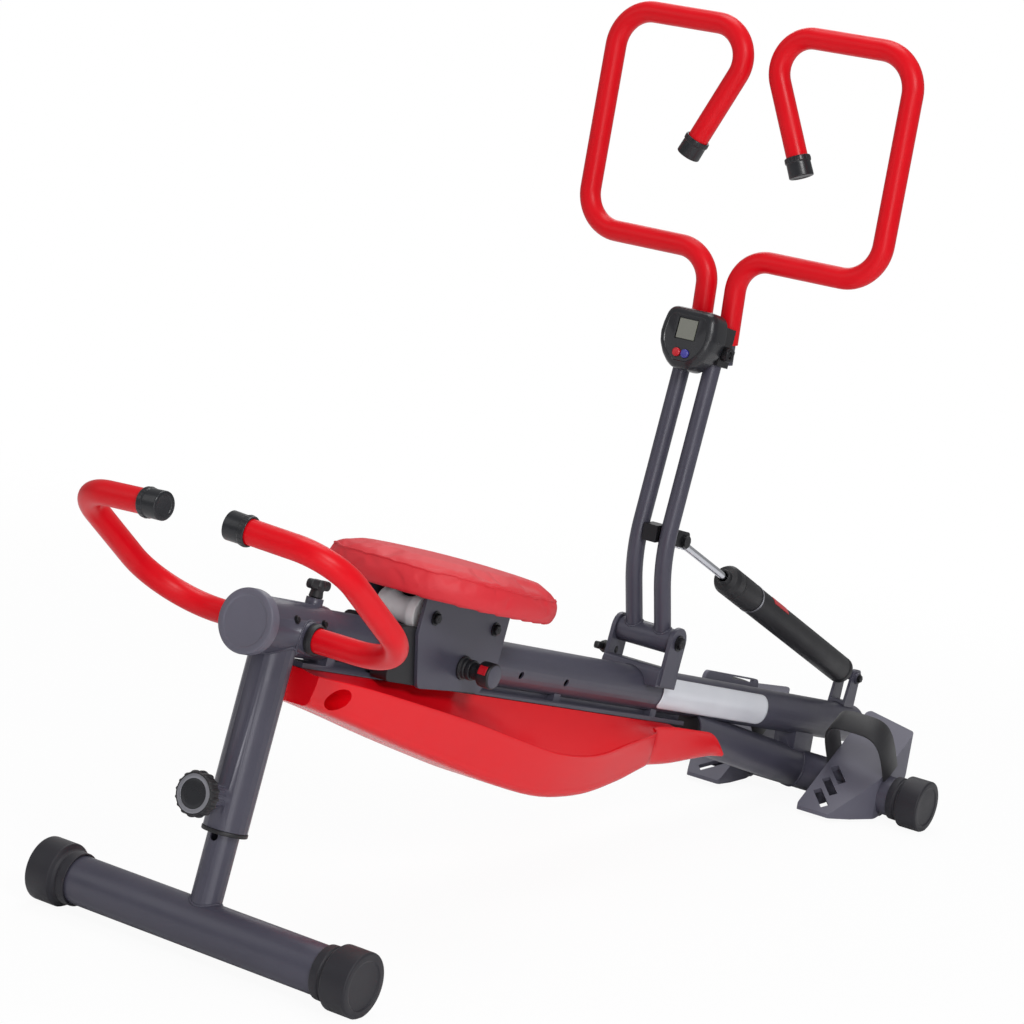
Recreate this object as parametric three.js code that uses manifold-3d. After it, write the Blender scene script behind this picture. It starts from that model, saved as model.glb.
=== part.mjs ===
// Hydraulic rowing machine with a sliding seat, a swinging mast and a gas-strut style damper.
// Millimetres, +Z up, +X from the rear support to the pedals, origin under the middle on the floor.
import * as THREE from 'three';
import { mergeVertices } from 'three/addons/utils/BufferGeometryUtils.js';
import Module from 'manifold-3d';

const wasm = await Module();
wasm.setup();

// Driving dimensions shared by several sub-assemblies
const steel = { radius: 25, wall: 2 };
const fit = { gap: 0.3, running: 0.5, overrun: 60, weld: 0.0001 };
const sides = { tube: 20, cap: 20, grip: 12, rod: 16, small: 12, fine: 32 };
const bendStepDeg = 18;

// Feet: a tube across the floor with a moulded cap on each end
const foot = {
  axisHeight: 32, rearHalf: 200, frontHalf: 194, frontX: 1237, railDrop: 68.57,
  capRadius: 33, capLength: 46, capEnd: 6, capRound: 4, collarRadius: 27.5, collarLength: 12, flareLength: 10,
};

// Telescopic rear post
const post = {
  length: 301, outerRadius: 22.5, innerRadius: 16, outerEnd: 204, innerTop: 60, holePitch: 20, holeRadius: 4.6,
  holeCount: 6, firstHole: 112,
};
const bushing = { lip: 4.5, lipRadius: 23.4, lipRound: 1.2, linerLength: 20 };
const heightKnob = {
  drop: 172, bossRadius: 11, bossLength: 24, stemRadius: 8, stemLength: 6, gripRadius: 23.3, gripLength: 15,
  gripRound: 3, pinRadius: 4, faceRingRadius: 17, faceDish: 1.2, nearInner: 0.8, boreGap: 0.4,
};

// Where the rail's origin lies and how it slopes in the upright frame that the mast and the hull are drawn in
const upright = { x: 56.56, z: 327.64, slopeDeg: 10.83 };
const uprightSlope = THREE.MathUtils.degToRad(upright.slopeDeg);

// Rail tube, in rail coordinates: s along the tube from the post, n square to it and up
const rail = {
  rear: 49, front: 1340, pinHoleRadius: 4.5, pinHolePitch: 100, firstPinHole: 235, pinHoleCount: 4,
};
const sleeve = {
  wall: 2.4, rear: 50, front: 66, socketS: 16, socketRadius: 16.5, socketReach: 31, bossRadius: 9, bossTop: 34,
};
const railCap = { radius: 32.5, length: 13, end: 7.7, round: 4 };
const wing = { s: 48, screwRadius: 4, stemRadius: 6.5, stemLength: 8, wingSpan: 10.5, wingRadius: 7, thickness: 9, rise: 10 };

// Foam covered handles
const grip = {
  tubeRadius: 10, foamRadius: 12.5, capRadius: 15, capLength: 24, capEnd: 5, capRound: 3, spigotY: 27, foamY: 37,
};
const handle = {
  legY: 158, legBend: 72, side: 199, sideBend: 50, topY: 156, endY: 39, endRise: 211.2, leanDeg: 36.8, socketRise: -3.5,
};

// Carriage, seat and pull pin, rail coordinates
const seat = {
  s: 270, plateY: 40, plateThickness: 4, boltSpacing: 120, axleRise: 39.5, axleRadius: 5, headRadius: 7.5, headLength: 3,
  rollerHalf: 25, waistFlat: 15, rollerRadius: 19.2, topRise: 59.5, topThickness: 2.5, topHalf: 84,
  boardThickness: 5, boardInset: 16, rimDrop: 4.5, cushionThickness: 43, cushionCrown: 7, halfLength: 134, halfWidth: 114,
  sideDraw: 7, guideRear: 116, guideFront: 64, guideTop: 26, guideBottom: 33, guideRound: 12, lipTop: 12,
};
// Cushion: the outline's power, shares of height and draw-in up its sides, and shares of its width over the crown
const padShares = {
  power: 2.5, sides: [[0, 1.3], [0.1, 0.45], [0.35, 0], [0.62, 0.1], [0.82, 0.75], [1, 2.1]], crown: [0.66, 0.28],
};
const pullPin = {
  s: 286, rise: -6, pinRadius: 4, housingRadius: 11, housingLength: 14, plungerRadius: 8, plungerLength: 14,
  knobRadius: 14, knobLength: 12, knobRound: 2.5, guardRadius: 13, guardLength: 3,
};

// Flat bar below the rail and the hull that it carries
const hullBar = {
  top: 30, thickness: 5, halfWidth: 14, webHalf: 5, webRear: 72, rear: 36, front: 855, spacerLength: 14,
  spacerShares: [0.057, 0.616, 0.898],
};
const hull = {
  wall: 3, holeHalfLength: 22, holeHalfHeight: 11.5, holeX: 117, holeZ: 258, floorRound: 9, deckHalf: 16,
  stationX: [84, 170, 260, 360, 450, 540, 630, 710, 757, 784, 796, 850, 915, 950, 976],
  topZ: [284, 263, 238, 209, 180, 153, 139, 141, 142, 143, 146, 139, 128, 115, 91],
  bottomZ: [250, 220, 187, 152, 122, 98, 88, 90, 95, 97, 97, 92, 90, 88.5, 87],
  halfTop: [37, 41, 45, 49, 53, 55, 52, 46, 42, 38, 30, 30, 30, 30, 29.5],
  halfBottom: [31, 35, 38, 42, 45, 46, 44, 39, 36, 33, 29.5, 29.5, 29.5, 29.5, 29],
};

// Badge plate and carry loop on the rail
const badge = { rear: 762, front: 1043, thickness: 0.8, halfArcDeg: 46, turnDeg: 0 };
const carry = {
  rear: 956, length: 148, low: -4, high: 33, thickness: 5, slotStart: 72, slotLength: 60, slotLow: 27.6, slotHigh: 31, round: 9,
};

// Yoke on the rail that carries the mast
const yoke = {
  s: 737, pivotRise: 63, earY: 39, earThickness: 5, earHalf: 18, earLow: 10, holeRadius: 6.3, boltRadius: 6,
  saddleHalf: 24, saddleHigh: 31, saddleLow: 8, saddleRound: 7, headRadius: 9, headLength: 5,
};
const yokeScrew = {
  height: 36, stemRadius: 7, stemLength: 8, wingSpan: 13, wingRadius: 7, thickness: 9, rise: 8, threadRadius: 4,
  threadLength: 4,
};

// Mast: foot tube, two bent rods, block, clamp and console
const mast = {
  footRadius: 15, rodRadius: 10, rodY: 19.5, elbowX: 759, elbowZ: 350, elbowBend: 150, jointX: 803, jointZ: 590,
  blockHeight: 20, blockZ: 377, lugX: 822, lugZ: 364, lugRadius: 10,
};
const clamp = {
  low: 13, high: 32, rodTop: 8, halfWidth: 31.5, rear: 12.8, front: 12, legFront: 37, legTop: 9, boltX: -4, boltZ: 2,
  knobRadius: 7, knobLength: 9,
};
const console_ = {
  faceHeight: 71, halfWidth: 33, depth: 34, rise: 7.5,
  lcdWidth: 28, lcdHeight: 23, lcdRise: 10.5, lcdThickness: 1.2, lcdRecess: 2, buttonRadius: 5, buttonSpacing: 11.2,
  buttonDrop: 17.5, buttonHeight: 2.6, buttonDepth: 5,
};
// Shield outline of the console: shares of its half width and half height from the top down
const shieldShares = [
  [0.62, 1], [0.85, 0.84], [0.96, 0.4], [1, 0.08], [0.93, -0.27], [0.75, -0.6], [0.53, -0.84], [0.3, -1],
];
const loop = {
  legX: 827, legZ: 578, foamZ: 602, cornerX: 822, cornerZ: 704, outerX: 823, topX: 829.5, topZ: 963, outerY: 196,
  innerY: 2, endY: 74, endDrop: 152,
  cornerBend: 40, outerBend: 45, topBend: 45, innerBend: 39,
};

// Damper between the mast clevis and the bracket on the rail
const damper = {
  bracketS: 1304, pivotRise: 37, rodRadius: 4.6, rodStart: 6, collarStart: 140, collarLength: 87, collarRadius: 18.5,
  collarRound: 9, collarMouth: 9, barrelRadius: 18, barrelBore: 14.5, barrelEnd: 26, barrelWall: 4, pistonRadius: 14.2,
  pistonLength: 16, pistonAt: 380, eyeHalf: 6.5, eyeNeck: 14, lugHalf: 8, lugRadius: 11, pinRadius: 4.5,
  cheekThickness: 4, headRadius: 7.5, headLength: 4,
};
const eyeNeckShare = 0.62;
const bracket = { earY: 8.6, earThickness: 4, earHalf: 11, baseHalf: 17, baseThickness: 4 };

// Strut and pedals at the front
const strut = { openDeg: 5.04, start: 12, length: 334, bridgeRear: 42, bridgeFront: 10, bridgeHalf: 15, bridgeTop: 70 };
const pedal = {
  innerY: 57, outerY: 134, heelOuterY: 104, heelX: -93, heelZ: -22, toeX: 57, toeZ: 76, plate: 6, skirt: 4,
  lowZ: -29, hubRadius: 29.2, slotLength: 32, slotWidth: 8, slotPitch: 23, slotCount: 3, slotTurnDeg: 45, slotStart: 24,
  toeSlant: 14,
  frontLowX: 52, frontLowZ: 16, lipHeight: 7, lipThickness: 4, midLowX: -10, heelLowX: -60,
};
const strap = { rear: 84, front: 128, rise: 68, power: 2.8, thickness: 3, steps: 12, anchorDrop: 9 };

const finishes = {
  anthracite: { color: 0x3f3f47, roughness: 0.45, metalness: 0.35 },
  blackPlastic: { color: 0x1b1b1f, roughness: 0.6, metalness: 0 },
  rubber: { color: 0x2a2a2e, roughness: 0.75, metalness: 0 },
  redFoam: { color: 0xd3122b, roughness: 0.55, metalness: 0 },
  redShell: { color: 0xd81e2c, roughness: 0.3, metalness: 0 },
  redSeat: { color: 0xe0222c, roughness: 0.5, metalness: 0 },
  nylon: { color: 0xd6d6de, roughness: 0.5, metalness: 0 },
  chrome: { color: 0xc9cad2, roughness: 0.15, metalness: 1 },
  zinc: { color: 0x9a9aa2, roughness: 0.35, metalness: 0.9 },
  badge: { color: 0xd9dbe0, roughness: 0.4, metalness: 0.2 },
  lcd: { color: 0x8e9180, roughness: 0.2, metalness: 0 },
  redPlastic: { color: 0xc01020, roughness: 0.35, metalness: 0 },
  bluePlastic: { color: 0x3b3a8c, roughness: 0.35, metalness: 0 },
};

// Geometry helpers

// One closed, welded mesh with its faces pointing outwards.
function closed(geometry) {
  const bare = geometry.clone();
  bare.deleteAttribute('normal');
  bare.deleteAttribute('uv');
  const welded = mergeVertices(bare, fit.weld);
  const position = welded.attributes.position;
  const corner = [0, 1, 2].map(() => new THREE.Vector3());
  const faces = [];
  let volume = 0;
  for (let i = 0; i < welded.index.count; i += 3) {
    const [a, b, c] = [0, 1, 2].map((k) => welded.index.getX(i + k));
    if (a === b || b === c || a === c) continue;
    [a, b, c].forEach((index, k) => corner[k].fromBufferAttribute(position, index));
    volume += corner[0].dot(corner[1].clone().cross(corner[2]));
    faces.push([a, b, c]);
  }
  if (volume < 0) faces.forEach((face) => face.reverse());
  welded.setIndex(faces.flat());
  return welded;
}

function toSolid(geometry) {
  const mesh = closed(geometry);
  const vertProperties = new Float32Array(mesh.attributes.position.array);
  const triVerts = new Uint32Array(mesh.index.array);
  return new wasm.Manifold(new wasm.Mesh({ numProp: 3, vertProperties, triVerts }));
}

function toGeometry(solid) {
  const mesh = solid.getMesh();
  const geometry = new THREE.BufferGeometry();
  geometry.setAttribute('position', new THREE.BufferAttribute(new Float32Array(mesh.vertProperties), 3));
  geometry.setIndex([...mesh.triVerts]);
  return geometry;
}

function join(first, ...others) {
  return toGeometry(others.reduce((solid, other) => solid.add(toSolid(other)), toSolid(first)));
}

function cut(first, ...others) {
  return toGeometry(others.reduce((solid, other) => solid.subtract(toSolid(other)), toSolid(first)));
}

function common(first, second) {
  return toGeometry(toSolid(first).intersect(toSolid(second)));
}

const quarter = Math.PI / 2;
const alongX = (geometry) => geometry.rotateZ(-quarter);
const alongZ = (geometry) => geometry.rotateX(quarter);

// Turned shape: [radius, height] pairs, from the axis to the axis or back to the start, standing along +Y.
function turned(pairs, count) {
  return new THREE.LatheGeometry(pairs.map(([r, h]) => new THREE.Vector2(r, h)), count);
}

// Bore radius whose flats clear a round piece of the given radius, for a bore with that many sides.
function around(radius, count) {
  return radius / Math.cos(Math.PI / count) + fit.gap;
}

// Straight tube or rod along +Y from start to end.
function pipe(outer, inner, start, end, count) {
  if (inner > 0) return turned([[inner, start], [outer, start], [outer, end], [inner, end], [inner, start]], count);
  return turned([[0, start], [outer, start], [outer, end], [0, end]], count);
}

// Points of a quarter round from (radius - round, height) to (radius, height + round), for a turned edge.
function roundOut(radius, height, round, up, steps = 2) {
  const points = [];
  for (let i = 0; i <= steps; i += 1) {
    const angle = (quarter * i) / steps;
    points.push([radius - round + round * Math.sin(angle), height + up * round * (1 - Math.cos(angle))]);
  }
  return points;
}

function box(x0, x1, y0, y1, z0, z1) {
  const geometry = new THREE.BoxGeometry(x1 - x0, y1 - y0, z1 - z0);
  return geometry.translate((x0 + x1) / 2, (y0 + y1) / 2, (z0 + z1) / 2);
}

// Flat outline in X and Z, given thickness from y0 to y1.
function slab(points, y0, y1, holes = []) {
  const shape = new THREE.Shape(points.map(([x, z]) => new THREE.Vector2(x, z)));
  holes.forEach((hole) => shape.holes.push(new THREE.Path(hole.map(([x, z]) => new THREE.Vector2(x, z)))));
  const geometry = new THREE.ExtrudeGeometry(shape, { depth: y1 - y0, bevelEnabled: false, steps: 1 });
  return geometry.rotateX(quarter).translate(0, y1, 0);
}

// Flat outline in X and Y, given height from z0 to z1.
function sheet(points, z0, z1) {
  const shape = new THREE.Shape(points.map(([x, y]) => new THREE.Vector2(x, y)));
  const geometry = new THREE.ExtrudeGeometry(shape, { depth: z1 - z0, bevelEnabled: false, steps: 1 });
  return geometry.translate(0, 0, z0);
}

// Flat outline in Y and Z, given length from x0 to x1.
function drawn(points, x0, x1) {
  return sheet(points, 0, x1 - x0).rotateX(quarter).rotateZ(quarter).translate(x0, 0, 0);
}

// Solid through a row of cross sections, each a list of [x, y, z] with the same count.
function loft(sections) {
  const ring = sections[0].length;
  const last = sections.length - 1;
  const index = [];
  for (let i = 0; i < last; i += 1) {
    for (let k = 0; k < ring; k += 1) {
      const a = i * ring + k;
      const b = i * ring + ((k + 1) % ring);
      index.push(a, b, b + ring, a, b + ring, a + ring);
    }
  }
  for (let k = 1; k < ring - 1; k += 1) {
    const far = last * ring;
    index.push(0, k + 1, k, far, far + k, far + k + 1);
  }
  const geometry = new THREE.BufferGeometry();
  geometry.setAttribute('position', new THREE.BufferAttribute(new Float32Array(sections.flat(2)), 3));
  geometry.setIndex(index);
  return geometry;
}

// Outline with rounded corners, as points, from corners and one radius for each.
function rounded(corners, radii, stepDeg = bendStepDeg) {
  const flat = corners.map(([x, y]) => new THREE.Vector3(x, y, 0));
  const points = [];
  flat.forEach((corner, i) => {
    const before = flat[(i + flat.length - 1) % flat.length];
    const after = flat[(i + 1) % flat.length];
    fillet(before, corner, after, radii[i % radii.length], stepDeg).forEach(([p]) => points.push([p.x, p.y]));
  });
  return points;
}

function circle(x, y, radius, count) {
  return Array.from({ length: count }, (_, i) => {
    const angle = (2 * Math.PI * i) / count;
    return [x + radius * Math.cos(angle), y + radius * Math.sin(angle)];
  });
}

// Arc stations [point, tangent] that round one corner of a path.
function fillet(before, corner, after, radius, stepDeg) {
  const back = before.clone().sub(corner).normalize();
  const ahead = after.clone().sub(corner).normalize();
  if (radius <= 0) return [[corner, ahead.clone().sub(back).normalize()]];
  const half = back.angleTo(ahead) / 2;
  const reach = radius / Math.tan(half);
  const turn = Math.PI - 2 * half;
  const steps = Math.max(1, Math.ceil(THREE.MathUtils.radToDeg(turn) / stepDeg));
  const centre = corner.clone().addScaledVector(back.clone().add(ahead).normalize(), radius / Math.sin(half));
  const start = corner.clone().addScaledVector(back, reach).sub(centre);
  const axis = back.clone().negate().cross(ahead).normalize();
  return Array.from({ length: steps + 1 }, (_, i) => {
    const spoke = start.clone().applyAxisAngle(axis, (turn * i) / steps);
    return [centre.clone().add(spoke), axis.clone().cross(spoke).normalize()];
  });
}

// Path whose stations are the ends of its straight runs and the steps of its bends.
class BentPath extends THREE.Curve {
  constructor(corners, radii) {
    super();
    const last = corners.length - 1;
    const first = corners[1].clone().sub(corners[0]).normalize();
    const final = corners[last].clone().sub(corners[last - 1]).normalize();
    this.stations = [[corners[0], first]];
    for (let i = 1; i < last; i += 1) {
      this.stations.push(...fillet(corners[i - 1], corners[i], corners[i + 1], radii[i - 1], bendStepDeg));
    }
    this.stations.push([corners[last], final]);
  }

  get steps() {
    return this.stations.length - 1;
  }

  getPointAt(u, target = new THREE.Vector3()) {
    return target.copy(this.stations[Math.round(u * this.steps)][0]);
  }

  getPoint(u, target) {
    return this.getPointAt(u, target);
  }

  getTangentAt(u, target = new THREE.Vector3()) {
    return target.copy(this.stations[Math.round(u * this.steps)][1]);
  }
}

// Round tube along a bent path, hollow where a bore is given.
function bent(path, outer, inner, count) {
  const shape = new THREE.Shape(circle(0, 0, outer, count).map(([x, y]) => new THREE.Vector2(x, y)));
  if (inner > 0) shape.holes.push(new THREE.Path(circle(0, 0, inner, count).map(([x, y]) => new THREE.Vector2(x, y))));
  return new THREE.ExtrudeGeometry(shape, { steps: path.steps, bevelEnabled: false, extrudePath: path });
}

const group = (parent) => {
  const made = new THREE.Group();
  parent.add(made);
  return made;
};

function part(parent, name, finish, geometry) {
  const mesh = new THREE.Mesh(closed(geometry), new THREE.MeshStandardMaterial(finishes[finish]));
  mesh.name = name;
  parent.add(mesh);
  return mesh;
}

const hands = [['left', 1], ['right', -1]];

// Frames: the whole machine, the sloping rail whose origin is where the post meets it, and the upright frame.
// The rail is square to the post and keeps its distance from the front foot, so it slopes more on a longer post.

const slope = Math.asin((post.length - foot.railDrop) / foot.frontX);
const machine = new THREE.Group();
const railFrame = group(machine);
railFrame.position.set(post.length * Math.sin(slope), 0, foot.axisHeight + post.length * Math.cos(slope));
railFrame.rotation.y = slope;

const uprightTurn = group(railFrame);
uprightTurn.rotation.y = -uprightSlope;
const uprightFrame = group(uprightTurn);
uprightFrame.position.set(-upright.x, 0, -upright.z);
machine.updateMatrixWorld(true);
const toUpright = uprightFrame.matrixWorld.clone().invert();

const inUpright = (geometry) => geometry.rotateY(uprightSlope).translate(upright.x, 0, upright.z);
const fromRail = (s, n) => new THREE.Vector3(s, 0, n)
  .applyAxisAngle(new THREE.Vector3(0, 1, 0), uprightSlope)
  .add(new THREE.Vector3(upright.x, 0, upright.z));

// A foot's end cap, cut flat where it stands on the floor, with its closed end at +Y
function footCap(half) {
  const end = half;
  const mouth = end - foot.capLength;
  const bore = steel.radius + fit.gap;
  const profile = [
    [0, end - foot.capEnd], [bore, end - foot.capEnd], [bore, mouth], [foot.collarRadius, mouth],
    [foot.collarRadius, mouth + foot.collarLength], [foot.capRadius, mouth + foot.collarLength + foot.flareLength],
    ...roundOut(foot.capRadius, end, foot.capRound, -1).reverse(), [0, end],
  ];
  const below = box(-foot.capRadius - fit.gap, foot.capRadius + fit.gap, mouth - fit.gap, end + fit.gap,
    -foot.axisHeight - foot.capRadius, -foot.axisHeight);
  return cut(turned(profile, sides.cap), below);
}

function footTube(half) {
  const reach = half - foot.capEnd - fit.gap;
  return pipe(steel.radius, steel.radius - steel.wall, -reach, reach, sides.tube);
}

function buildFoot(parent, label, half, x) {
  const place = group(parent);
  place.position.set(x, 0, foot.axisHeight);
  part(place, `${label}_stabiliser_tube`, 'anthracite', footTube(half));
  hands.forEach(([hand, sign]) => {
    const cap = part(place, `${label}_end_cap_${hand}`, 'rubber', footCap(half));
    cap.rotation.z = sign > 0 ? 0 : Math.PI;
  });
}

// Rear post in the rail frame, hanging down from its origin along -Z
function buildPost() {
  const saddle = alongX(pipe(sleeve.wall + steel.radius + 2 * fit.gap, 0, -fit.overrun, fit.overrun, sides.fine));
  const floorTube = pipe(steel.radius + fit.gap, 0, -fit.overrun, fit.overrun, sides.fine);
  const floorBite = floorTube.rotateY(-slope).translate(0, 0, -post.length);
  const knobBore = alongX(pipe(heightKnob.pinRadius + heightKnob.boreGap, 0, 0, fit.overrun, sides.small))
    .rotateY(Math.PI).translate(0, 0, -heightKnob.drop);

  const inner = alongZ(pipe(post.innerRadius, post.innerRadius - steel.wall, -post.length, -post.innerTop, sides.tube));
  const holes = Array.from({ length: post.holeCount }, (_, i) =>
    alongX(pipe(post.holeRadius, 0, 0, fit.overrun, sides.small))
      .rotateY(Math.PI).translate(0, 0, -post.firstHole - i * post.holePitch));
  part(railFrame, 'inner_post', 'anthracite', cut(inner, floorBite, ...holes));

  const outer = alongZ(pipe(post.outerRadius, 0, -post.outerEnd, 0, sides.tube));
  const boss = alongX(pipe(heightKnob.bossRadius, 0, 0, post.outerRadius + heightKnob.bossLength, sides.rod))
    .rotateY(Math.PI).translate(0, 0, -heightKnob.drop);
  const postBore = alongZ(pipe(post.outerRadius - steel.wall, 0, -fit.overrun - post.outerEnd, fit.overrun, sides.tube));
  part(railFrame, 'outer_post', 'anthracite', cut(join(outer, boss), postBore, saddle, knobBore));

  const lipLow = -post.outerEnd - bushing.lip;
  const bore = post.innerRadius + fit.gap;
  const liner = post.outerRadius - steel.wall - fit.gap;
  const profile = [
    [bore, lipLow], ...roundOut(bushing.lipRadius, lipLow, bushing.lipRound, 1),
    [bushing.lipRadius, -post.outerEnd - fit.gap], [liner, -post.outerEnd - fit.gap],
    [liner, -post.outerEnd + bushing.linerLength], [bore, -post.outerEnd + bushing.linerLength], [bore, lipLow],
  ];
  part(railFrame, 'post_bushing', 'blackPlastic', alongZ(turned(profile, sides.tube)));
}

// Pop-pin knob on the rear of the outer post: stem, grip and pin
function buildHeightKnob() {
  const knob = group(railFrame);
  knob.position.z = -heightKnob.drop;
  knob.rotation.z = quarter;
  const bossEnd = post.outerRadius + heightKnob.bossLength;
  const stemEnd = bossEnd + fit.gap + heightKnob.stemLength;
  const face = stemEnd + heightKnob.gripLength;
  const tip = post.innerRadius + heightKnob.nearInner;
  const profile = [
    [0, tip], [heightKnob.pinRadius, tip], [heightKnob.pinRadius, bossEnd + fit.gap],
    [heightKnob.stemRadius, bossEnd + fit.gap], [heightKnob.stemRadius, stemEnd],
    ...roundOut(heightKnob.gripRadius, stemEnd, heightKnob.gripRound, 1),
    ...roundOut(heightKnob.gripRadius, face, heightKnob.gripRound, -1).reverse(),
    [heightKnob.faceRingRadius, face], [heightKnob.faceRingRadius, face - heightKnob.faceDish],
    [0, face - heightKnob.faceDish],
  ];
  part(knob, 'height_knob', 'blackPlastic', turned(profile, sides.cap));
}

// Rear head: sleeve with the handles' cross socket, end cap and clamp screw
function wingShape(screw, base) {
  const top = base + screw.stemLength;
  const bar = slab(rounded([
    [-screw.wingSpan - screw.wingRadius, top], [screw.wingSpan + screw.wingRadius, top],
    [screw.wingSpan + screw.wingRadius, top + screw.rise], [-screw.wingSpan - screw.wingRadius, top + screw.rise],
  ], [screw.rise / 2 - fit.gap]), -screw.thickness / 2, screw.thickness / 2);
  const stem = alongZ(pipe(screw.stemRadius, 0, base, top + screw.rise / 2, sides.rod));
  return join(bar, stem);
}

function buildHead() {
  const outer = steel.radius + fit.gap + sleeve.wall;
  const bore = steel.radius + fit.gap;
  const body = alongX(pipe(outer, 0, -sleeve.rear, sleeve.front, sides.fine));
  const cross = pipe(sleeve.socketRadius, 0, -sleeve.socketReach, sleeve.socketReach, sides.tube)
    .translate(sleeve.socketS, 0, handle.socketRise);
  const boss = alongZ(pipe(sleeve.bossRadius, 0, 0, sleeve.bossTop, sides.rod)).translate(wing.s, 0, 0);
  const railBore = alongX(pipe(bore, 0, -fit.overrun - sleeve.rear, sleeve.front + fit.overrun, sides.fine));
  const tubeBore = pipe(around(grip.tubeRadius, sides.tube), 0, -fit.overrun, fit.overrun, sides.tube)
    .translate(sleeve.socketS, 0, handle.socketRise);
  const screwBore = alongZ(pipe(wing.screwRadius + fit.gap, 0, 0, fit.overrun, sides.small)).translate(wing.s, 0, 0);
  part(railFrame, 'rear_head_sleeve', 'anthracite', cut(join(body, cross, boss), railBore, tubeBore, screwBore));

  const start = -sleeve.rear - railCap.end - fit.gap;
  const lip = start + railCap.length;
  const recess = -sleeve.rear - fit.gap;
  const capBore = around(outer, sides.cap);
  const cap = turned([
    [0, start], ...roundOut(railCap.radius, start, railCap.round, 1), [railCap.radius, lip],
    [capBore, lip], [capBore, recess], [0, recess],
  ], sides.cap);
  part(railFrame, 'rail_end_cap', 'blackPlastic', alongX(cap));

  const screw = group(railFrame);
  screw.position.x = wing.s;
  const thread = alongZ(pipe(wing.screwRadius, 0, steel.radius + fit.gap, sleeve.bossTop + wing.stemLength, sides.small));
  part(screw, 'rail_wing_screw', 'blackPlastic', join(wingShape(wing, sleeve.bossTop + fit.gap), thread));
}

// Foam covered tube on a bent path, its bare end starting before the foam, and the cap on its far end
function buildGrip(parent, names, corners, bends, bareLength) {
  const first = corners[1].clone().sub(corners[0]).normalize();
  const foamStart = corners[0].clone().addScaledVector(first, bareLength);
  const foam = bent(new BentPath([foamStart, ...corners.slice(1)], bends), grip.foamRadius, 0, sides.grip);
  const spigot = pipe(grip.tubeRadius, 0, 0, bareLength + grip.foamRadius, sides.grip);
  spigot.applyQuaternion(new THREE.Quaternion().setFromUnitVectors(new THREE.Vector3(0, 1, 0), first));
  spigot.translate(corners[0].x, corners[0].y, corners[0].z);
  part(parent, names.grip, 'redFoam', join(foam, spigot));
  const capHalf = grip.capLength - grip.capEnd;
  const cap = turned([
    [0, fit.gap], [grip.foamRadius + fit.gap, fit.gap], [grip.foamRadius + fit.gap, -capHalf],
    [grip.capRadius, -capHalf], ...roundOut(grip.capRadius, grip.capEnd, grip.capRound, -1).reverse(), [0, grip.capEnd],
  ], sides.rod);
  const station = endStation(corners);
  const mesh = part(parent, names.cap, 'blackPlastic', cap);
  mesh.position.copy(station.point);
  mesh.quaternion.setFromUnitVectors(new THREE.Vector3(0, 1, 0), station.direction);
}

function endStation(corners) {
  const last = corners.length - 1;
  return { point: corners[last], direction: corners[last].clone().sub(corners[last - 1]).normalize() };
}

// Push-up handle beside the rear head: out along the socket, back and up, then inwards
function buildHandles() {
  const socket = fromRail(sleeve.socketS, handle.socketRise);
  const lean = THREE.MathUtils.degToRad(handle.leanDeg);
  hands.forEach(([hand, sign]) => {
    const at = (y, rise) => new THREE.Vector3(
      socket.x - rise * Math.cos(lean), sign * y, socket.z + rise * Math.sin(lean));
    const corners = [
      at(grip.spigotY, 0), at(handle.legY, 0), at(handle.topY, handle.side), at(handle.endY + grip.capEnd, handle.endRise),
    ];
    buildGrip(uprightFrame, { grip: `pushup_handle_${hand}`, cap: `pushup_handle_cap_${hand}` },
      corners, [handle.legBend, handle.sideBend], grip.foamY - grip.spigotY);
  });
}

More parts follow.
